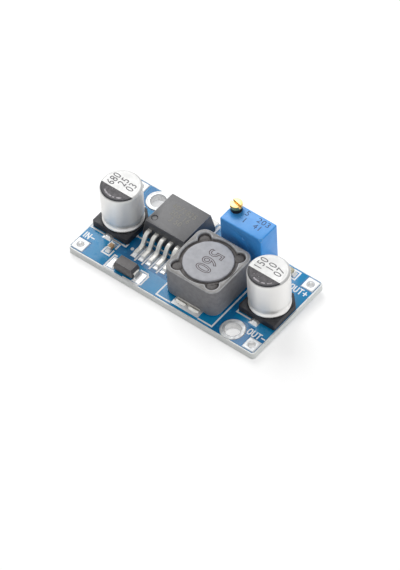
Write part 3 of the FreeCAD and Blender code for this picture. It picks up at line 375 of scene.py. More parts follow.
# carriage inside the trimmer: white, with a soft sheen
makeFinish("whiteAcetal", "#E4E4DF", "#D8D8D2", 0.5, 0.4, 0.5, 0.15, 0.004)


# Solder mask: glossy blue lacquer over the weave of the glass, paler where copper lies under it.
# The weave is drawn coarser than a real one so that it shows: a band is 2 pi times 0.6 mm wide
for maskName, maskTone, maskTone2 in (("maskOverGlass", "#027AB8", "#0272AC"),
                                      ("maskOverCopper", "#0492CC", "#0589C2")):
    makeFinish(maskName, maskTone, maskTone2, 2.5, 0.12, 0.2, 0.3, 0.003, specular=0.3, coat=0.05,
               coatRough=0.08, weave=0.6)


# Turned brass: polished, with the lathe's rings round the screw's axis, drawn wider than real to show
def makeBrass():
    tree, place = startMaterial("turnedBrass")
    low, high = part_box("trimmer_screw")
    axis = ((low.x + high.x) / 2, (low.y + high.y) / 2, 0)
    centred = addNode(tree, "ShaderNodeVectorMath", {"operation": "SUBTRACT"}, _0=place, _1=axis)
    rings = addNode(tree, "ShaderNodeTexWave", {"wave_type": "RINGS", "rings_direction": "Z"},
                    Vector=centred, Scale=perMetre(0.12) / 20, Distortion=0.4).outputs["Fac"]
    patch = addNode(tree, "ShaderNodeTexNoise", Vector=place, Scale=perMetre(0.8), Detail=3.0)
    colour = addNode(tree, "ShaderNodeMix", {"data_type": "RGBA"}, _0=patch, _6="#E4C688",
                     _7="#D2AC66").outputs[2]
    bumps = addNode(tree, "ShaderNodeBump", Height=rings, Distance=0.003 * mm)
    shader = addNode(tree, "ShaderNodeBsdfPrincipled", Base_Color=colour, Roughness=0.34, Normal=bumps,
                     Metallic=1.0)
    addNode(tree, "ShaderNodeOutputMaterial", Surface=shader)


makeBrass()


# Milky lens of the indicator lamp: cream-coloured, clouded and glossy
def makeLens():
    tree, place = startMaterial("milkyLens")
    cloud = addNode(tree, "ShaderNodeTexNoise", Vector=place, Scale=perMetre(0.5), Detail=2.0)
    colour = addNode(tree, "ShaderNodeMix", {"data_type": "RGBA"}, _0=cloud, _6="#F2EBCB",
                     _7="#E3DBB8").outputs[2]
    bumps = addNode(tree, "ShaderNodeBump", Height=cloud, Distance=0.01 * mm)
    shader = addNode(tree, "ShaderNodeBsdfPrincipled", Base_Color=colour, Roughness=0.12, Normal=bumps,
                     Transmission_Weight=0.25, IOR=1.5)
    addNode(tree, "ShaderNodeOutputMaterial", Surface=shader)


makeLens()
print("finishes:", len(finishes))


# Every node that stays as the CAD made it gets its finish in its own slots
keptFinish = {
    "circuit_board": "routedLaminate", "solder_mask_top": "maskOverGlass",
    "solder_mask_underside": "maskOverGlass",
    "trimmer_base": "filledPlastic", "trimmer_element": "whiteCeramic", "trimmer_carriage": "whiteAcetal",
    "trimmer_contact": "turnedBrass", "indicator_base": "whiteCeramic",
    "trimmer_pin_1": "platedLeads", "trimmer_pin_2": "platedLeads", "trimmer_pin_3": "platedLeads",
}
for nodeName, finishName in keptFinish.items():
    nodes[nodeName].data.materials.clear()
    nodes[nodeName].data.materials.append(finishes[finishName])


# Aluminium can capacitors
canLook = {
    "segments": 144, "rimRadius": 0.3, "grooveDepth": 0.32, "topRadius": 0.5,
    "lipRadius": 0.22, "lipTop": 0.36, "grooveAt": 0.86, "grooveRise": 1.35,
    "ridge": (0.75, 1.05), "ridgeSlope": 0.05, "ridgeDrop": 0.014, "topDrop": 0.02, "topBand": 0.3,
    "inkLift": 0.012, "inkEdge": -1.2, "inkDrop": 0.16, "inkLine": 0.58,
    # where the painted reflection lies on the ridge: its reach from the middle, its patch size and its
    # threshold
    "glintReach": 2.3, "glintGrain": 1.6, "glintAbove": -0.12,
    "figures": (1.65, 0.78, 0.012), "plinthEdge": 0.1, "stripEdge": 0.05,
}


def canProfile(radius, low, high):
    rim = canLook["rimRadius"]
    top = canLook["topRadius"]
    depth = canLook["grooveDepth"]
    points = [(0, low)]
    points += arcProfile(radius - rim, low + rim, rim, -90, 0, 6)
    lip = canLook["lipRadius"]
    points += arcProfile(radius - lip, low + canLook["lipTop"], lip, 0, 55, 4)
    bottom = low + canLook["grooveAt"]
    for i in range(13):  # the rolled groove: short below its deepest line, long and soft above
        t = i / 12
        share = (1 + math.cos(math.pi * t)) / 2
        points.append((radius - depth * share, bottom + canLook["grooveRise"] * t))
    points += [(radius, low + (high - low) * share) for share in (0.4, 0.6, 0.8)]
    points += arcProfile(radius - top, high - top, top, 0, 90, 8)
    outer, inner = canLook["ridge"]
    flat = high - canLook["topDrop"]
    crest = high - canLook["ridgeDrop"]
    slope = canLook["ridgeSlope"]
    points += [(radius - top - 0.1, flat), (radius - outer, flat), (radius - outer - slope, crest),
               (radius - inner + slope, crest), (radius - inner, flat), (0, flat)]
    return points


def makeCan(name, marks):
    can = boxOf(name + "_can")
    profile = canProfile(can.half, can.foot, can.top)
    bm = latheBmesh(profile, can.middle, canLook["segments"])
    for face in bm.faces:
        if face.calc_center_median().z > (can.top - canLook["topBand"]) * mm:
            face.material_index = 1
    makePiece(name + "_cup", bm, ("drawnAluminium", "lacqueredTop"), (name + "_can",), 50)
    makeDarkField(name + "_dark_field", profile, can)
    z = can.top - canLook["topDrop"] + canLook["inkLift"] / 2
    makeFigures(name + "_figures", marks, can.middle, z, canLook["figures"], 90, "stampInk")
    softCopy(name + "_plinth", name + "_base", "filledPlastic", canLook["plinthEdge"], "black_base")
    for side in ("front", "back"):
        softCopy("%s_%s_strip" % (name, side), "%s_%s_terminal" % (name, side), "platedLeads",
                 canLook["stripEdge"], "tinned_copper")


# The dark field that marks the negative side: its curved border is a blacker line, and patches on its ridge
# carry a painted reflection
def makeDarkField(name, profile, can):
    lift = canLook["inkLift"]
    cap = [(r + lift * 0.6 if r > can.half - canLook["topBand"] else r, z + lift) for r, z in profile
           if z > can.top - canLook["inkDrop"]]
    bm = latheBmesh(cap, can.middle, canLook["segments"])
    bmesh.ops.bisect_plane(bm, geom=bm.verts[:] + bm.edges[:] + bm.faces[:], clear_outer=True,
                           plane_co=(0, (can.middle[1] + canLook["inkEdge"]) * mm, 0), plane_no=(0, 1, 0))
    outer, inner = canLook["ridge"]
    for face in bm.faces:
        middle = face.calc_center_median() / mm
        x, y = middle.x - can.middle[0], middle.y - can.middle[1]
        away = math.hypot(x, y)
        if away > can.half - canLook["inkLine"]:
            face.material_index = 1
        # ridge faces near the middle take the painted reflection in noisy patches
        elif can.half - inner < away < can.half - outer and abs(x) < canLook["glintReach"]:
            patch = noise.noise(Vector((x * canLook["glintGrain"], can.middle[0], 0)))
            if patch > canLook["glintAbove"]:
                face.material_index = 2
    makePiece(name, bm, ("canInk", "filledPlastic", "inkRidgeGlint"), (), 50)


makeCan("input_capacitor", [("680", -2.05, 0.55), ("25", -0.05, 0.95), ("03", 1.9, 0.75)])
makeCan("output_capacitor", [("150", -2.05, 0.55), ("10", -0.05, 0.95), ("07", 1.9, 0.75)])
print("capacitors done")


# Regulator
chipLook = {
    "edge": 0.09, "tabEdge": 0.08, "legEdge": 0.05, "dimple": (-10.5, 1.55), "dimpleRadius": 0.64,
    # profile of the dimple: share of its radius, how far beyond that, how far below the body's top
    "bowl": ((0, 0, 0.115), (0.7, 0, 0.11), (0.92, 0, 0.07), (1, 0, 0.02), (1, 0.03, 0.03), (1, 0.03, 0.2),
             (0, 0, 0.2)),
    "figures": (1.15, 0.9, 0.006),
    "marks": (("4071825", 0.1, 1.75), ("205 16", 0.2, 0.25), ("3 50", 0.2, -1.2)),
}


def makeRegulator():
    # its softened edges take the paler epoxy: a painted edge highlight
    softCopy("regulator_package", "regulator_body", ("mouldedEpoxy", "epoxyEdgeHighlight"), chipLook["edge"],
             "mould_compound", 3)
    softCopy("regulator_heat_tab", "regulator_tab", "platedLeads", chipLook["tabEdge"], "tinned_copper")
    for number in range(1, 6):
        # the legs take the paler tin: painted light
        softCopy("regulator_leg_%d" % number, "regulator_lead_%d" % number, "freshTin",
                 chipLook["legEdge"], "tinned_copper")
    body = boxOf("regulator_body")
    makeFigures("regulator_figures", chipLook["marks"], body.middle, body.top,
                chipLook["figures"], 0, "laserMark")
    radius = chipLook["dimpleRadius"]
    bowl = [(radius * share + out, body.top - down) for share, out, down in chipLook["bowl"]]
    bm = latheBmesh(bowl, chipLook["dimple"], 48)
    makePiece("regulator_dimple", bm, "polishedEpoxy")


makeRegulator()
print("regulator done")


# Shielded inductor
coilLook = {
    "post": 2.6, "lowFlange": 0.9, "highFlange": 1.0, "segments": 144,
    "shieldEdge": 0.26, "shieldBand": 0.3, "drumEdge": 0.16, "chipBand": 0.3, "chipDepth": 0.05,
    "glueWave": 0.1, "glueBand": 0.3, "pocketReach": 3.96,
    # profiles of the glue: the ring (beyond the drum's radius, below the glue's top) and a pocket's lump
    "glueRing": ((-0.1, 0.6), (-0.1, 0.02), (0.12, 0.1), (0.35, 0.14), (0.6, 0.08), (0.72, 0.02),
                 (0.72, 0.6)),
    "glueLump": ((0, 7.9), (0.5, 7.92), (0.85, 7.9), (1.02, 7.84), (1.14, 7.74), (1.24, 7.7), (1.24, 7.1),
                 (0, 7.1)),
    "figures": (3.1, 0.8, 0.17), "marks": (("560", 0.1, 0.1),), "figureLift": 0.004, "figureFlatness": 0.35,
    "halfShell": 6.0, "footEdge": 0.14, "footTop": 2.12, "footStart": 0.36, "footSlope": 0.42,
    "footRound": 0.45, "footGap": 0.28, "lipLow": 1.92, "lipTop": 2.28, "lipDepth": 0.17, "lipEdge": 0.05,
    "footSlopeFrom": 1.7, "strapUnder": 0.6, "strapOver": 0.1, "strapTop": 1.78,
    "wire": 0.42, "layers": 3, "firstLayer": 0.55, "layerStep": 0.95, "turnStep": 1.06,
}


def makeShell():
    bm = nodeBmesh("inductor_shield")
    softenEdges(bm, coilLook["shieldEdge"], segments=3, mark=1)
    bm.normal_update()
    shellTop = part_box("inductor_shield")[1].z
    # bevel faces take the paler edge finish, wear and a painted highlight; near the top, flat faces take the
    # painted light from above
    for face in bm.faces:
        if face.calc_center_median().z > shellTop - coilLook["shieldBand"] * mm and face.normal.z > 0.2:
            face.material_index = 2 if face.normal.z > 0.97 else 1
    # the third finish is the top face's painted light from above
    makePiece("inductor_shell", bm, ("coatedFerrite", "ferriteWearAndHighlight", "ferriteLitTop"),
              ("inductor_shield",))


# The drum: its upper rim is chipped a little all round
def makeDrum(core):
    radius, top = core.half, core.top
    edge = coilLook["drumEdge"]
    post = coilLook["post"]
    low = core.foot + coilLook["lowFlange"]
    high = top - coilLook["highFlange"]

    def chipped(r, z, angle):
        way = Vector((math.cos(angle) * 3.1, math.sin(angle) * 3.1, z * 2))
        bite = noise.noise(way * 1.7) * coilLook["chipDepth"]
        return (r + bite, z) if r > radius - coilLook["chipBand"] else (r, z)
    profile = [(0, core.foot), (radius, core.foot), (radius, low), (post, low), (post, high), (radius, high),
               (radius, top - edge)]
    profile += arcProfile(radius - edge, top - edge, edge, 0, 90, 5)[1:]
    profile += [(radius - 0.6, top), (0, top)]
    bm = latheBmesh(profile, core.middle, coilLook["segments"], wobble=chipped)
    makePiece("inductor_drum", bm, "groundFerrite", ("inductor_core",))


# Glue: an uneven ring between drum and shell, and a lump in each pocket
def makeGlue(core):
    top = boxOf("inductor_adhesive").top

    def uneven(r, z, angle):
        way = Vector((math.cos(angle) * 2.2, math.sin(angle) * 2.2, r * 0.7))
        wave = noise.noise(way * 1.9) * coilLook["glueWave"]
        return r, z + wave if z > top - coilLook["glueBand"] else z
    ring = [(core.half + out, top - down) for out, down in coilLook["glueRing"]]
    bm = latheBmesh(ring, core.middle, coilLook["segments"], closed=True, wobble=uneven)
    reach = coilLook["pocketReach"]
    for i in (-1, 1):
        for j in (-1, 1):
            place = (core.middle[0] + i * reach, core.middle[1] + j * reach)
            joinMesh(bm, latheBmesh(coilLook["glueLump"], place, 40))
    makePiece("inductor_glue", bm, "curedGlue", ("inductor_adhesive",), 60)


def makeDrumFigures(core):
    piece = makeFigures("inductor_figures", coilLook["marks"], core.middle,
                        core.top + coilLook["figureLift"], coilLook["figures"], -90,
                        "drumInk", True)
    for vertex in piece.data.vertices:
        vertex.co.z = core.top * mm + (vertex.co.z - core.top * mm) * coilLook["figureFlatness"]


def rectangle(left, right, near, far):
    return [(left, near), (right, near), (right, far), (left, far)]


# One foot of a clip, seen from above: square at its root, round at its tip
def footOutline(start, end, root, tip, side):
    radius = coilLook["footRound"]
    turns = [math.radians(a) for a in range(0, 91, 15)]
    points = [(end, root)]
    for a in turns:
        points.append((end - radius + radius * math.cos(a), tip - side * (radius - radius * math.sin(a))))
    for a in turns:
        points.append((start + radius - radius * math.sin(a), tip - side * (radius - radius * math.cos(a))))
    return points + [(start, root)]


# Each clip is a lip up the shell's face, a strap under it and two thick rounded feet
def makeClip(centre, side, name):
    low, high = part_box("inductor_%s_terminal" % name)
    left, right = low.x / mm, high.x / mm
    tip = (low.y if side < 0 else high.y) / mm
    face = centre[1] + side * coilLook["halfShell"]
    root = face + side * coilLook["footStart"]
    gap = coilLook["footGap"]
    outlines = [footOutline(left, centre[0] - gap, root, tip, side),
                footOutline(centre[0] + gap, right, root, tip, side)]
    feet = platePiece("inductor_%s_feet" % name, outlines, landTop, coilLook["footTop"], "platedLeads",
                      coilLook["footEdge"], ("inductor_%s_terminal" % name,))
    for vertex in feet.data.vertices:  # the tops fall away outwards, where solder pulled the tin thin
        if vertex.co.z > coilLook["footSlopeFrom"] * mm:
            vertex.co.z -= max(0, side * (vertex.co.y - root * mm)) * coilLook["footSlope"]
    edge = coilLook["lipEdge"]
    deep = face + side * coilLook["lipDepth"]
    lip = rectangle(left + edge, right - edge, face, deep)
    # the lip's pale matt tin is painted light in the shell's shade
    platePiece("inductor_%s_lip" % name, [lip], coilLook["lipLow"], coilLook["lipTop"],
               "mattTin", edge)
    strap = rectangle(left + edge, right - edge, face - side * coilLook["strapUnder"],
                      root + side * coilLook["strapOver"])
    platePiece("inductor_%s_strap" % name, [strap], landTop, coilLook["strapTop"], "platedLeads")


def makeInductor():
    makeShell()
    core = boxOf("inductor_core")
    makeDrum(core)
    makeGlue(core)
    makeDrumFigures(core)
    makeClip(core.middle, -1, "front")
    makeClip(core.middle, 1, "back")


# A tree of Geometry Nodes with named inputs, and what it gives at its end
def startTree(name, geometries, numbers):
    tree = bpy.data.node_groups.new(name, "GeometryNodeTree")
    tree.interface.new_socket("Geometry", in_out="OUTPUT", socket_type="NodeSocketGeometry")
    for label in geometries:
        tree.interface.new_socket(label, in_out="INPUT", socket_type="NodeSocketGeometry")
    for label in numbers:
        tree.interface.new_socket(label, in_out="INPUT", socket_type="NodeSocketFloat")
    return tree, addNode(tree, "NodeGroupInput").outputs


def endTree(tree, shape, finish):
    real = addNode(tree, "GeometryNodeRealizeInstances", Geometry=shape)
    dressed = addNode(tree, "GeometryNodeSetMaterial", Geometry=real, Material=finishes[finish])
    addNode(tree, "NodeGroupOutput", Geometry=dressed)


# Runs a tree with its inputs and adds what it gives to a bmesh
def joinTree(bm, tree, start, values, shift=(0, 0, 0)):
    holder = newObject("maker", start)
    modifier = holder.modifiers.new("maker", "NODES")
    modifier.node_group = tree
    for item in tree.interface.items_tree:
        if item.in_out == "INPUT" and item.name in values:
            modifier[item.identifier] = values[item.name]
    mesh = evaluatedMesh(holder)
    holder.modifiers.remove(modifier)
    bpy.data.objects.remove(holder)
    mesh.transform(Matrix.Translation(shift))
    joinMesh(bm, mesh)


# Enamelled wire wound in layers on the drum's post, by Geometry Nodes
def windingTree():
    tree, given = startTree("drumWinding", (), ("Turns", "Layer radius", "Height", "Wire radius"))
    path = addNode(tree, "GeometryNodeCurveSpiral", Resolution=40, Rotations=given["Turns"],
                   Start_Radius=given["Layer radius"], End_Radius=given["Layer radius"],
                   Height=given["Height"])
    section = addNode(tree, "GeometryNodeCurvePrimitiveCircle", Resolution=8, Radius=given["Wire radius"])
    wire = addNode(tree, "GeometryNodeCurveToMesh", Curve=path, Profile_Curve=section, Fill_Caps=True)
    endTree(tree, wire, "enamelledWire")
    return tree


def makeWinding():
    low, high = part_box("inductor_winding")
    centre = (low + high) / 2
    inner = coilLook["post"] * mm
    wire = coilLook["wire"] * mm
    height = high.z - low.z - wire
    tree = windingTree()
    bm = bmesh.new()
    for layer in range(coilLook["layers"]):
        radius = inner + wire * (coilLook["firstLayer"] + coilLook["layerStep"] * layer)
        values = {"Turns": height / (wire * coilLook["turnStep"]), "Layer radius": radius,
                  "Height": height, "Wire radius": wire / 2}
        joinTree(bm, tree, bpy.data.meshes.new("start"), values, (centre.x, centre.y, low.z + wire / 2))
    faceOutwards(bm)
    makePiece("inductor_turns", bm, "enamelledWire", ("inductor_winding",), 60)


makeInductor()
makeWinding()
print("inductor done")


# Diode and chip parts: piece, node, finish, width of its soft edges in mm, slot and steps round an edge
smallParts = [
    # the diode's softened edges take the paler epoxy: a painted edge highlight
    ("diode_package", "diode_body", ("diodeEpoxy", "epoxyEdgeHighlight"), 0.07, "diode_compound", 3),
    ("diode_left_strip", "diode_left_lead", "platedLeads", 0.04, "tinned_copper", 2),
    ("diode_right_strip", "diode_right_lead", "platedLeads", 0.04, "tinned_copper", 2),
    ("ceramic_block", "ceramic_capacitor_body", "sinteredCeramic", 0.05, "tan_ceramic", 2),
    ("ceramic_caps", "ceramic_capacitor_ends", "levelledTin", 0.08, "tinned_copper", 3),
    ("resistor_block", "feedback_resistor_body", "glazedCeramic", 0.04, "black_ceramic", 2),
    ("resistor_caps", "feedback_resistor_ends", "levelledTin", 0.06, "tinned_copper", 2),
    ("lamp_lens", "indicator_lens", "milkyLens", 0.06, "clear_lens", 2),
    ("lamp_ends", "indicator_ends", "levelledTin", 0.03, "tinned_copper", 2),
]
for smallPart in smallParts:
    softCopy(*smallPart)
print("small parts done")


# Multi-turn trimmer
trimmerLook = {
    "edge": 0.07, "screwEdge": 0.05, "sealEdge": 0.12, "figures": (1.15, 1.1, 0.008),
    "marks": (("5", 5.75, 8.75), ("1", 6.25, 7.1), ("203", 9.5, 8.65), ("41", 9.2, 7.1)),
}


def makeTrimmer():
    # its softened edges take the paler nylon: a painted edge highlight
    softCopy("trimmer_box", "trimmer_housing", ("blueNylon", "nylonEdgeHighlight"), trimmerLook["edge"],
             "blue_plastic")
    makeFigures("trimmer_figures", trimmerLook["marks"], (0, 0), boxOf("trimmer_housing").top,
                trimmerLook["figures"], 0, "wornInk")
    softCopy("adjusting_screw_brass", "trimmer_screw", "turnedBrass", trimmerLook["screwEdge"], "brass",
             3, "adjusting_screw")
    softCopy("adjusting_screw_seal", "trimmer_seal", "sealRubber", trimmerLook["sealEdge"], "seal_rubber",
             3, "adjusting_screw")


makeTrimmer()
print("trimmer done")


# Plated rings and wire pads: a land on each face, joined by the skin of the hole
padLook = {
    "steps": 96, "cornerEase": 0.72, "landLow": 1.6, "underHigh": 0.06, "underShare": -0.25, "edge": 0.03,
    # how far out a loop lies between hole and edge, and how high the tin stands there
    "shares": (0, 0.04, 0.12, 0.3, 0.5, 0.7, 0.88, 0.96, 1.0),
    "ringCrown": (-0.04, 0.03, 0.07, 0.05, 0.02, 0.05, 0.08, 0.05, 0.0), "ringHole": 1.52, "ringReach": 2.4,
    "padCrown": (-0.03, 0.0, 0.03, 0.05, 0.055, 0.05, 0.035, 0.015, 0.0), "padHole": 0.68,
    "ringPlaces": ((-15.0, 8.0), (15.0, -8.0)),
}


# Distance from the middle of a square pad with slightly eased corners to its edge
def squareRadius(angle, half):
    c, s = abs(math.cos(angle)), abs(math.sin(angle))
    reach = half / max(c, s)
    soft = (half ** 8 / (c ** 8 + s ** 8)) ** (1 / 8)
    return reach + (soft - reach) * padLook["cornerEase"]


def landedHole(bm, centre, holeRadius, outer, crown):
    steps = padLook["steps"]
    upper = [(t, landTop + h) for t, h in zip(padLook["shares"], crown)]
    sections = upper + [(1.0, padLook["landLow"]), (1.0, padLook["underHigh"])]
    sections += [(t, padLook["underShare"] * (z - landTop)) for t, z in reversed(upper)]
    loops = []
    for t, z in sections:
        loop = []
        for i in range(steps):
            angle = 2 * math.pi * i / steps
            r = holeRadius + (outer(angle) - holeRadius) * t
            x = centre[0] + r * math.cos(angle)
            y = centre[1] + r * math.sin(angle)
            loop.append(bm.verts.new((x * mm, y * mm, z * mm)))
        loops.append(loop)
    for index in range(len(loops)):
        if index == len(upper):
            continue  # the board fills the gap between the two lands
        a, b = loops[index], loops[(index + 1) % len(loops)]
        for i in range(steps):
            j = (i + 1) % steps
            strip = bm.faces.new((a[i], a[j], b[j], b[i]))
            strip.material_index = 1 if index == len(loops) - 1 else 0  # the wall of the hole


def makeLands():
    bm = bmesh.new()
    for place in padLook["ringPlaces"]:
        landedHole(bm, place, padLook["ringHole"], lambda angle: padLook["ringReach"], padLook["ringCrown"])
    faceOutwards(bm)
    makePiece("mounting_rings", bm, ("dulledTin", "platedBarrel"),
              ("mounting_hole_rings",), 60)
    for name in ("input_positive", "input_negative", "output_positive", "output_negative"):
        pad = boxOf(name + "_pad")
        bm = bmesh.new()
        landedHole(bm, pad.middle, padLook["padHole"], lambda angle: squareRadius(angle, pad.half),
                   padLook["padCrown"])
        faceOutwards(bm)
        makePiece(name + "_land", bm, ("levelledTin", "brightBarrel"), (name + "_pad",),
                  60)
    softCopy("component_lands", "component_pads", "levelledTin", padLook["edge"], "tinned_copper")


makeLands()
print("lands done")


# Solder: on each land a pool that climbs the foot in a hollow curve and thins out to the edge
solderLook = {"cells": 30, "reach": 0.2, "edge": 0.22, "skin": 0.03, "swell": 0.035,
              "seat": 0.01, "sunk": 0.04}
pools = {
    # lead: land (x0, x1, y0, y1), foot (x0, x1, y0, y1), how high the solder climbs, all in mm
    "regulatorLead": [((x - 0.55, x + 0.55, -5.35, -1.9), (x - 0.4, x + 0.4, -4.5, -2.5), 0.3)
                      for x in (-10.4, -8.7, -7.0, -5.3, -3.6)],
    "regulatorTab": [((-12.35, -1.65, 1.95, 10.05), (-12.0, -2.0, 1.95, 9.7), 0.2)],
    "diodeLead": [((-13.03, -11.23, -9.95, -7.25), (-11.68, -10.6, -9.33, -7.88), 0.4),
                  ((-7.07, -5.27, -9.95, -7.25), (-7.7, -6.62, -9.33, -7.88), 0.4)],
    "canStrip": [((x - 0.95, x + 0.95, *land), (x - 0.45, x + 0.45, *foot), 0.22) for x in (-17.0, 17.15)
                 for land, foot in (((-5.05, -1.35), (-4.5, -1.35)), ((1.85, 5.55), (1.85, 5.0)))],
    "ceramicEnd": [((-15.41, -14.36, -7.45, -6.5), (-15.31, -14.45, -6.9, -6.5), 0.5),
                   ((-15.41, -14.36, -5.7, -4.75), (-15.31, -14.45, -5.7, -5.3), 0.5)],
    "resistorEnd": [((13.15, 14.1, 5.68, 6.73), (13.7, 14.1, 5.77, 6.63), 0.35),
                    ((14.9, 15.85, 5.68, 6.73), (14.9, 15.3, 5.77, 6.63), 0.35)],
    "lampEnd": [((13.6, 14.4, 8.23, 9.48), (14.05, 14.4, 8.23, 9.48), 0.25),
                ((15.7, 16.5, 8.23, 9.48), (15.7, 16.05, 8.23, 9.48), 0.25)],
}
# Profile of the solder at a pin of the trimmer: the filled hole and the cone below it
pinCone = [(0, 1.6), (0.5, 1.6), (0.5, 0.05), (0.85, 0.02), (0.83, -0.03), (0.66, -0.07), (0.52, -0.15),
           (0.43, -0.27), (0.37, -0.4), (0.31, -0.49), (0.0, -0.5)]


def solderHeight(x, y, land, foot, climb):
    away = math.hypot(max(foot[0] - x, 0, x - foot[1]), max(foot[2] - y, 0, y - foot[3]))
    toEdge = min(x - land[0], land[1] - x, y - land[2], land[3] - y)
    fade = math.sqrt(min(1.0, max(0.0, toEdge) / solderLook["edge"]))
    wave = 1 + 0.5 * noise.noise(Vector((x * 1.3, y * 1.3, land[0])))
    rise = climb * math.exp(-away / solderLook["reach"])
    return fade * (solderLook["skin"] + solderLook["swell"] * wave + rise)


def addPool(bm, land, foot, climb):
    cells = solderLook["cells"]
    grid = []
    for j in range(cells + 1):
        row = []
        for i in range(cells + 1):
            x = land[0] + (land[1] - land[0]) * i / cells
            y = land[2] + (land[3] - land[2]) * j / cells
            z = landTop - solderLook["seat"] + solderHeight(x, y, land, foot, climb)
            row.append(bm.verts.new((x * mm, y * mm, z * mm)))
        grid.append(row)
    for j in range(cells):
        for i in range(cells):
            bm.faces.new((grid[j][i], grid[j][i + 1], grid[j + 1][i + 1], grid[j + 1][i]))
    rim = grid[0] + [row[-1] for row in grid[1:]] + grid[-1][-2::-1] + [row[0] for row in grid[-2:0:-1]]
    sunk = [bm.verts.new((v.co.x, v.co.y, (landTop - solderLook["sunk"]) * mm)) for v in rim]
    for k in range(len(rim)):
        n = (k + 1) % len(rim)
        bm.faces.new((rim[n], rim[k], sunk[k], sunk[n]))
    bm.faces.new(sunk[::-1])


def makeSolder():
    bm = bmesh.new()
    for group in pools.values():
        for land, foot, climb in group:
            addPool(bm, land, foot, climb)
    for number in (1, 2, 3):
        joinMesh(bm, latheBmesh(pinCone, boxOf("trimmer_pin_%d" % number).middle, 40))
    faceOutwards(bm)
    makePiece("solder_pools", bm, "frozenSolder", ("solder_joints",), 60)


makeSolder()
print("solder done")


# White print: the CAD's strokes with the ink spread a little on each side, but not on the letters
printLook = {"spread": 0.065, "lettersFrom": (17.2, 4.5)}


def makeLegend():
    spread = printLook["spread"] * mm
    lettersX, lettersY = printLook["lettersFrom"]
    bm = nodeBmesh("legend_print")
    bm.normal_update()
    moves = {}
    for vert in bm.verts:
        if abs(vert.co.x) > lettersX * mm and abs(vert.co.y) > lettersY * mm:
            continue
        walls = []
        for face in vert.link_faces:
            if abs(face.normal.z) < 0.5 and all(face.normal.dot(w) < 0.999 for w in walls):
                walls.append(face.normal.copy())
        if len(walls) == 1:
            moves[vert] = walls[0] * spread
        elif walls:
            moves[vert] = (walls[0] + walls[1]) * (spread / max(0.5, 1 + walls[0].dot(walls[1])))
    for vert, move in moves.items():
        vert.co += move
    makePiece("spread_print", bm, "screenInk", ("legend_print",), 30)


makeLegend()
print("print done")


# Copper fields under the mask stand a hair proud of it, with soft edges, and look paler
pourLook = {"low": 1.6, "top": 1.648, "edge": 0.06}
pours = {
    "pour_input_front": [(-21.3, -7.2), (-18.4, -7.2), (-18.4, -10.2), (-13.6, -10.2), (-13.6, -6.35),
                         (-14.1, -5.9), (-14.1, 0.4), (-21.3, 0.4)],
    "pour_switch": [(-13.1, -10.2), (11.6, -10.2), (11.6, -6.0), (-1.2, -6.0), (-1.4, -6.15),
                    (-13.1, -6.15)],
    "pour_output": [(13.2, -5.4), (18.2, -5.4), (18.2, -6.2), (21.3, -6.2), (21.3, 7.2), (18.4, 7.2),
                    (18.4, 10.2), (12.4, 10.2), (12.4, 4.9), (13.2, 4.4)],
    "pour_input_back": [(-21.3, 0.8), (-14.1, 0.8), (-12.5, 1.6), (-12.5, 5.4), (-18.2, 5.4), (-18.2, 10.2),
                        (-18.4, 10.2), (-18.4, 7.2), (-21.3, 7.2)],
    "pour_ground": [(-12.4, -1.4), (1.6, -1.4), (1.6, 6.2), (2.6, 9.2), (11.8, 9.2), (11.8, 10.2),
                    (-12.4, 10.2)],
}
for pourName, outline in pours.items():
    platePiece(pourName, [outline], pourLook["low"], pourLook["top"], "maskOverCopper",
               pourLook["edge"])


# Tented vias: small rings that the mask draws over the drilled holes, by Geometry Nodes
viaLook = {"radius": 0.2, "rim": 0.07, "flatness": 0.4, "heights": {"top": 1.632, "underside": 0.028}}
throughVias = [(-17.6, -6.7), (-16.4, -9.0), (-19.9, -4.2), (-19.9, -2.4), (-13.4, -4.0), (-1.0, -3.2),
               (-0.9, -8.6), (10.3, -9.4), (12.9, 3.0), (18.9, 6.5), (0.6, 9.3), (20.4, -5.2)]
viaPlaces = {
    "top": [*throughVias, (-12.2, -5.2), (0.4, -9.6), (11.9, -4.9), (12.4, -8.9), (0.6, 7.6), (-19.6, 6.4),
            (12.2, 7.6)],
    "underside": [(-11.0 + 1.5 * i, 2.8 + 1.5 * j) for i in range(7) for j in range(5)] + throughVias,
}


def viaTree():
    tree, given = startTree("tentedVias", ("Places",), ("Ring radius", "Rim radius", "Flatness"))
    ring = addNode(tree, "GeometryNodeCurvePrimitiveCircle", Resolution=16, Radius=given["Ring radius"])
    section = addNode(tree, "GeometryNodeCurvePrimitiveCircle", Resolution=6, Radius=given["Rim radius"])
    torus = addNode(tree, "GeometryNodeCurveToMesh", Curve=ring, Profile_Curve=section)
    squash = addNode(tree, "ShaderNodeCombineXYZ", X=1.0, Y=1.0, Z=given["Flatness"])
    flat = addNode(tree, "GeometryNodeTransform", Geometry=torus, Scale=squash)
    spread = addNode(tree, "GeometryNodeInstanceOnPoints", Points=given["Places"], Instance=flat)
    endTree(tree, spread, "maskOverCopper")
    return tree


def makeVias():
    tree = viaTree()
    for face, z in viaLook["heights"].items():
        start = bpy.data.meshes.new("viaPlaces")
        start.from_pydata([(x * mm, y * mm, z * mm) for x, y in viaPlaces[face]], [], [])
        values = {"Ring radius": viaLook["radius"] * mm, "Rim radius": viaLook["rim"] * mm,
                  "Flatness": viaLook["flatness"]}
        bm = bmesh.new()
        joinTree(bm, tree, start, values)
        faceOutwards(bm)
        makePiece("tented_vias_" + face, bm, "maskOverCopper", (), 70)


makeVias()
print("copper and vias done")


# Light, floor and camera
stageLook = {"floorSize": 3.0, "floorGlow": 0.5, "worldGlow": 0.32,
             "floorAtPins": -0.62, "pinRow": 7.4, "frontLand": -10.05}


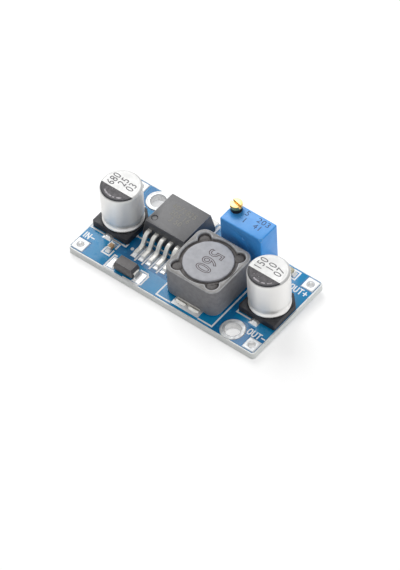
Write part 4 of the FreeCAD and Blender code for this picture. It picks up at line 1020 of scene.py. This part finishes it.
# The floor leans against the ends of the trimmer's pins and the front edge's lands
def makeFloor():
    slope = stageLook["floorAtPins"] / (stageLook["pinRow"] - stageLook["frontLand"])
    half = stageLook["floorSize"] / 2
    mesh = bpy.data.meshes.new("floor")
    corners = []
    for x, y in ((-half, -half), (half, -half), (half, half), (-half, half)):
        corners.append((x, y, (y / mm - stageLook["frontLand"]) * slope * mm))
    mesh.from_pydata(corners, [], [(0, 1, 2, 3)])
    floor = newObject("floor", mesh)
    tree = startMaterial("paperFloor")[0]
    paper = addNode(tree, "ShaderNodeBsdfDiffuse", Color="#E0E0E0")
    dull = addNode(tree, "ShaderNodeBsdfDiffuse", Color="#E4E4E4")  # how it lights the part
    glow = addNode(tree, "ShaderNodeEmission", Color=(1, 1, 1, 1), Strength=stageLook["floorGlow"])
    both = addNode(tree, "ShaderNodeAddShader", _0=paper, _1=glow)
    seen = seenRay(tree)
    final = addNode(tree, "ShaderNodeMixShader", _0=seen, _1=dull, _2=both)
    addNode(tree, "ShaderNodeOutputMaterial", Surface=final)
    mesh.materials.append(finishes["paperFloor"])


def seenRay(tree):
    ray = addNode(tree, "ShaderNodeLightPath")
    some = addNode(tree, "ShaderNodeMath", {"operation": "MAXIMUM"}, _0=ray.outputs["Is Camera Ray"],
                   _1=ray.outputs["Is Glossy Ray"])
    return addNode(tree, "ShaderNodeMath", {"operation": "MAXIMUM"}, _0=some,
                   _1=ray.outputs["Is Transmission Ray"])


def makeLight():
    world = bpy.data.worlds.new("studio")
    bpy.context.scene.world = world
    world.use_nodes = True
    tree = world.node_tree
    tree.nodes.clear()
    soft = addNode(tree, "ShaderNodeBackground", Color=(1, 1, 1, 1), Strength=stageLook["worldGlow"])
    white = addNode(tree, "ShaderNodeBackground", Color=(1, 1, 1, 1), Strength=1.0)
    mix = addNode(tree, "ShaderNodeMixShader", _0=seenRay(tree), _1=soft, _2=white)
    addNode(tree, "ShaderNodeOutputWorld", Surface=mix)
    lamps = {
        # name: (direction it comes from, distance in m, size in m, watts, whether gloss shows it)
        "keySoftbox": ((-0.60, 0.44, 0.70), 0.58, 0.42, 2.1, True),
        "rightSoftbox": ((0.90, 0.10, 0.40), 0.55, 0.30, 0.6, False),
    }
    for name, (way, distance, size, watts, glossy) in lamps.items():
        lamp = bpy.data.lights.new(name, "AREA")
        lamp.shape = "SQUARE"
        lamp.size = size
        lamp.energy = watts
        holder = newObject(name, lamp)
        out = Vector(way).normalized()
        holder.location = out * distance
        holder.rotation_mode = "QUATERNION"
        holder.rotation_quaternion = out.to_track_quat("Z", "Y")
        holder.visible_glossy = glossy  # the white surroundings give the other reflections


# The camera as fitted to the photo: angles in degrees, distances in mm, focal length in pixels
photoView = {
    "azimuth": 41.0368, "elevation": 50.0155, "roll": -3.473, "distance": 800, "right": 0.8121,
    "up": -2.7162, "focalPixels": 4367.785, "heightPixels": 570, "sensor": 36,
}


def makeCamera():
    azimuth, elevation, roll = (math.radians(photoView[key]) for key in ("azimuth", "elevation", "roll"))
    back = Vector((math.sin(azimuth) * math.cos(elevation), -math.cos(azimuth) * math.cos(elevation),
                   math.sin(elevation)))
    level = Vector((math.cos(azimuth), math.sin(azimuth), 0))
    upright = back.cross(level)
    right = level * math.cos(roll) + upright * math.sin(roll)
    up = upright * math.cos(roll) - level * math.sin(roll)
    place = (right * photoView["right"] + up * photoView["up"] + back * photoView["distance"]) * mm
    camera = bpy.data.cameras.new("photoCamera")
    camera.sensor_width = photoView["sensor"]
    camera.lens = photoView["focalPixels"] / photoView["heightPixels"] * photoView["sensor"]
    camera.clip_start = 0.05
    camera.clip_end = 10
    holder = newObject("photoCamera", camera)
    holder.matrix_world = Matrix.Translation(place) @ Matrix((right, up, back)).transposed().to_4x4()
    bpy.context.scene.camera = holder


makeFloor()
makeLight()
makeCamera()
bpy.context.scene.view_settings.view_transform = "Standard"
print("stage done")
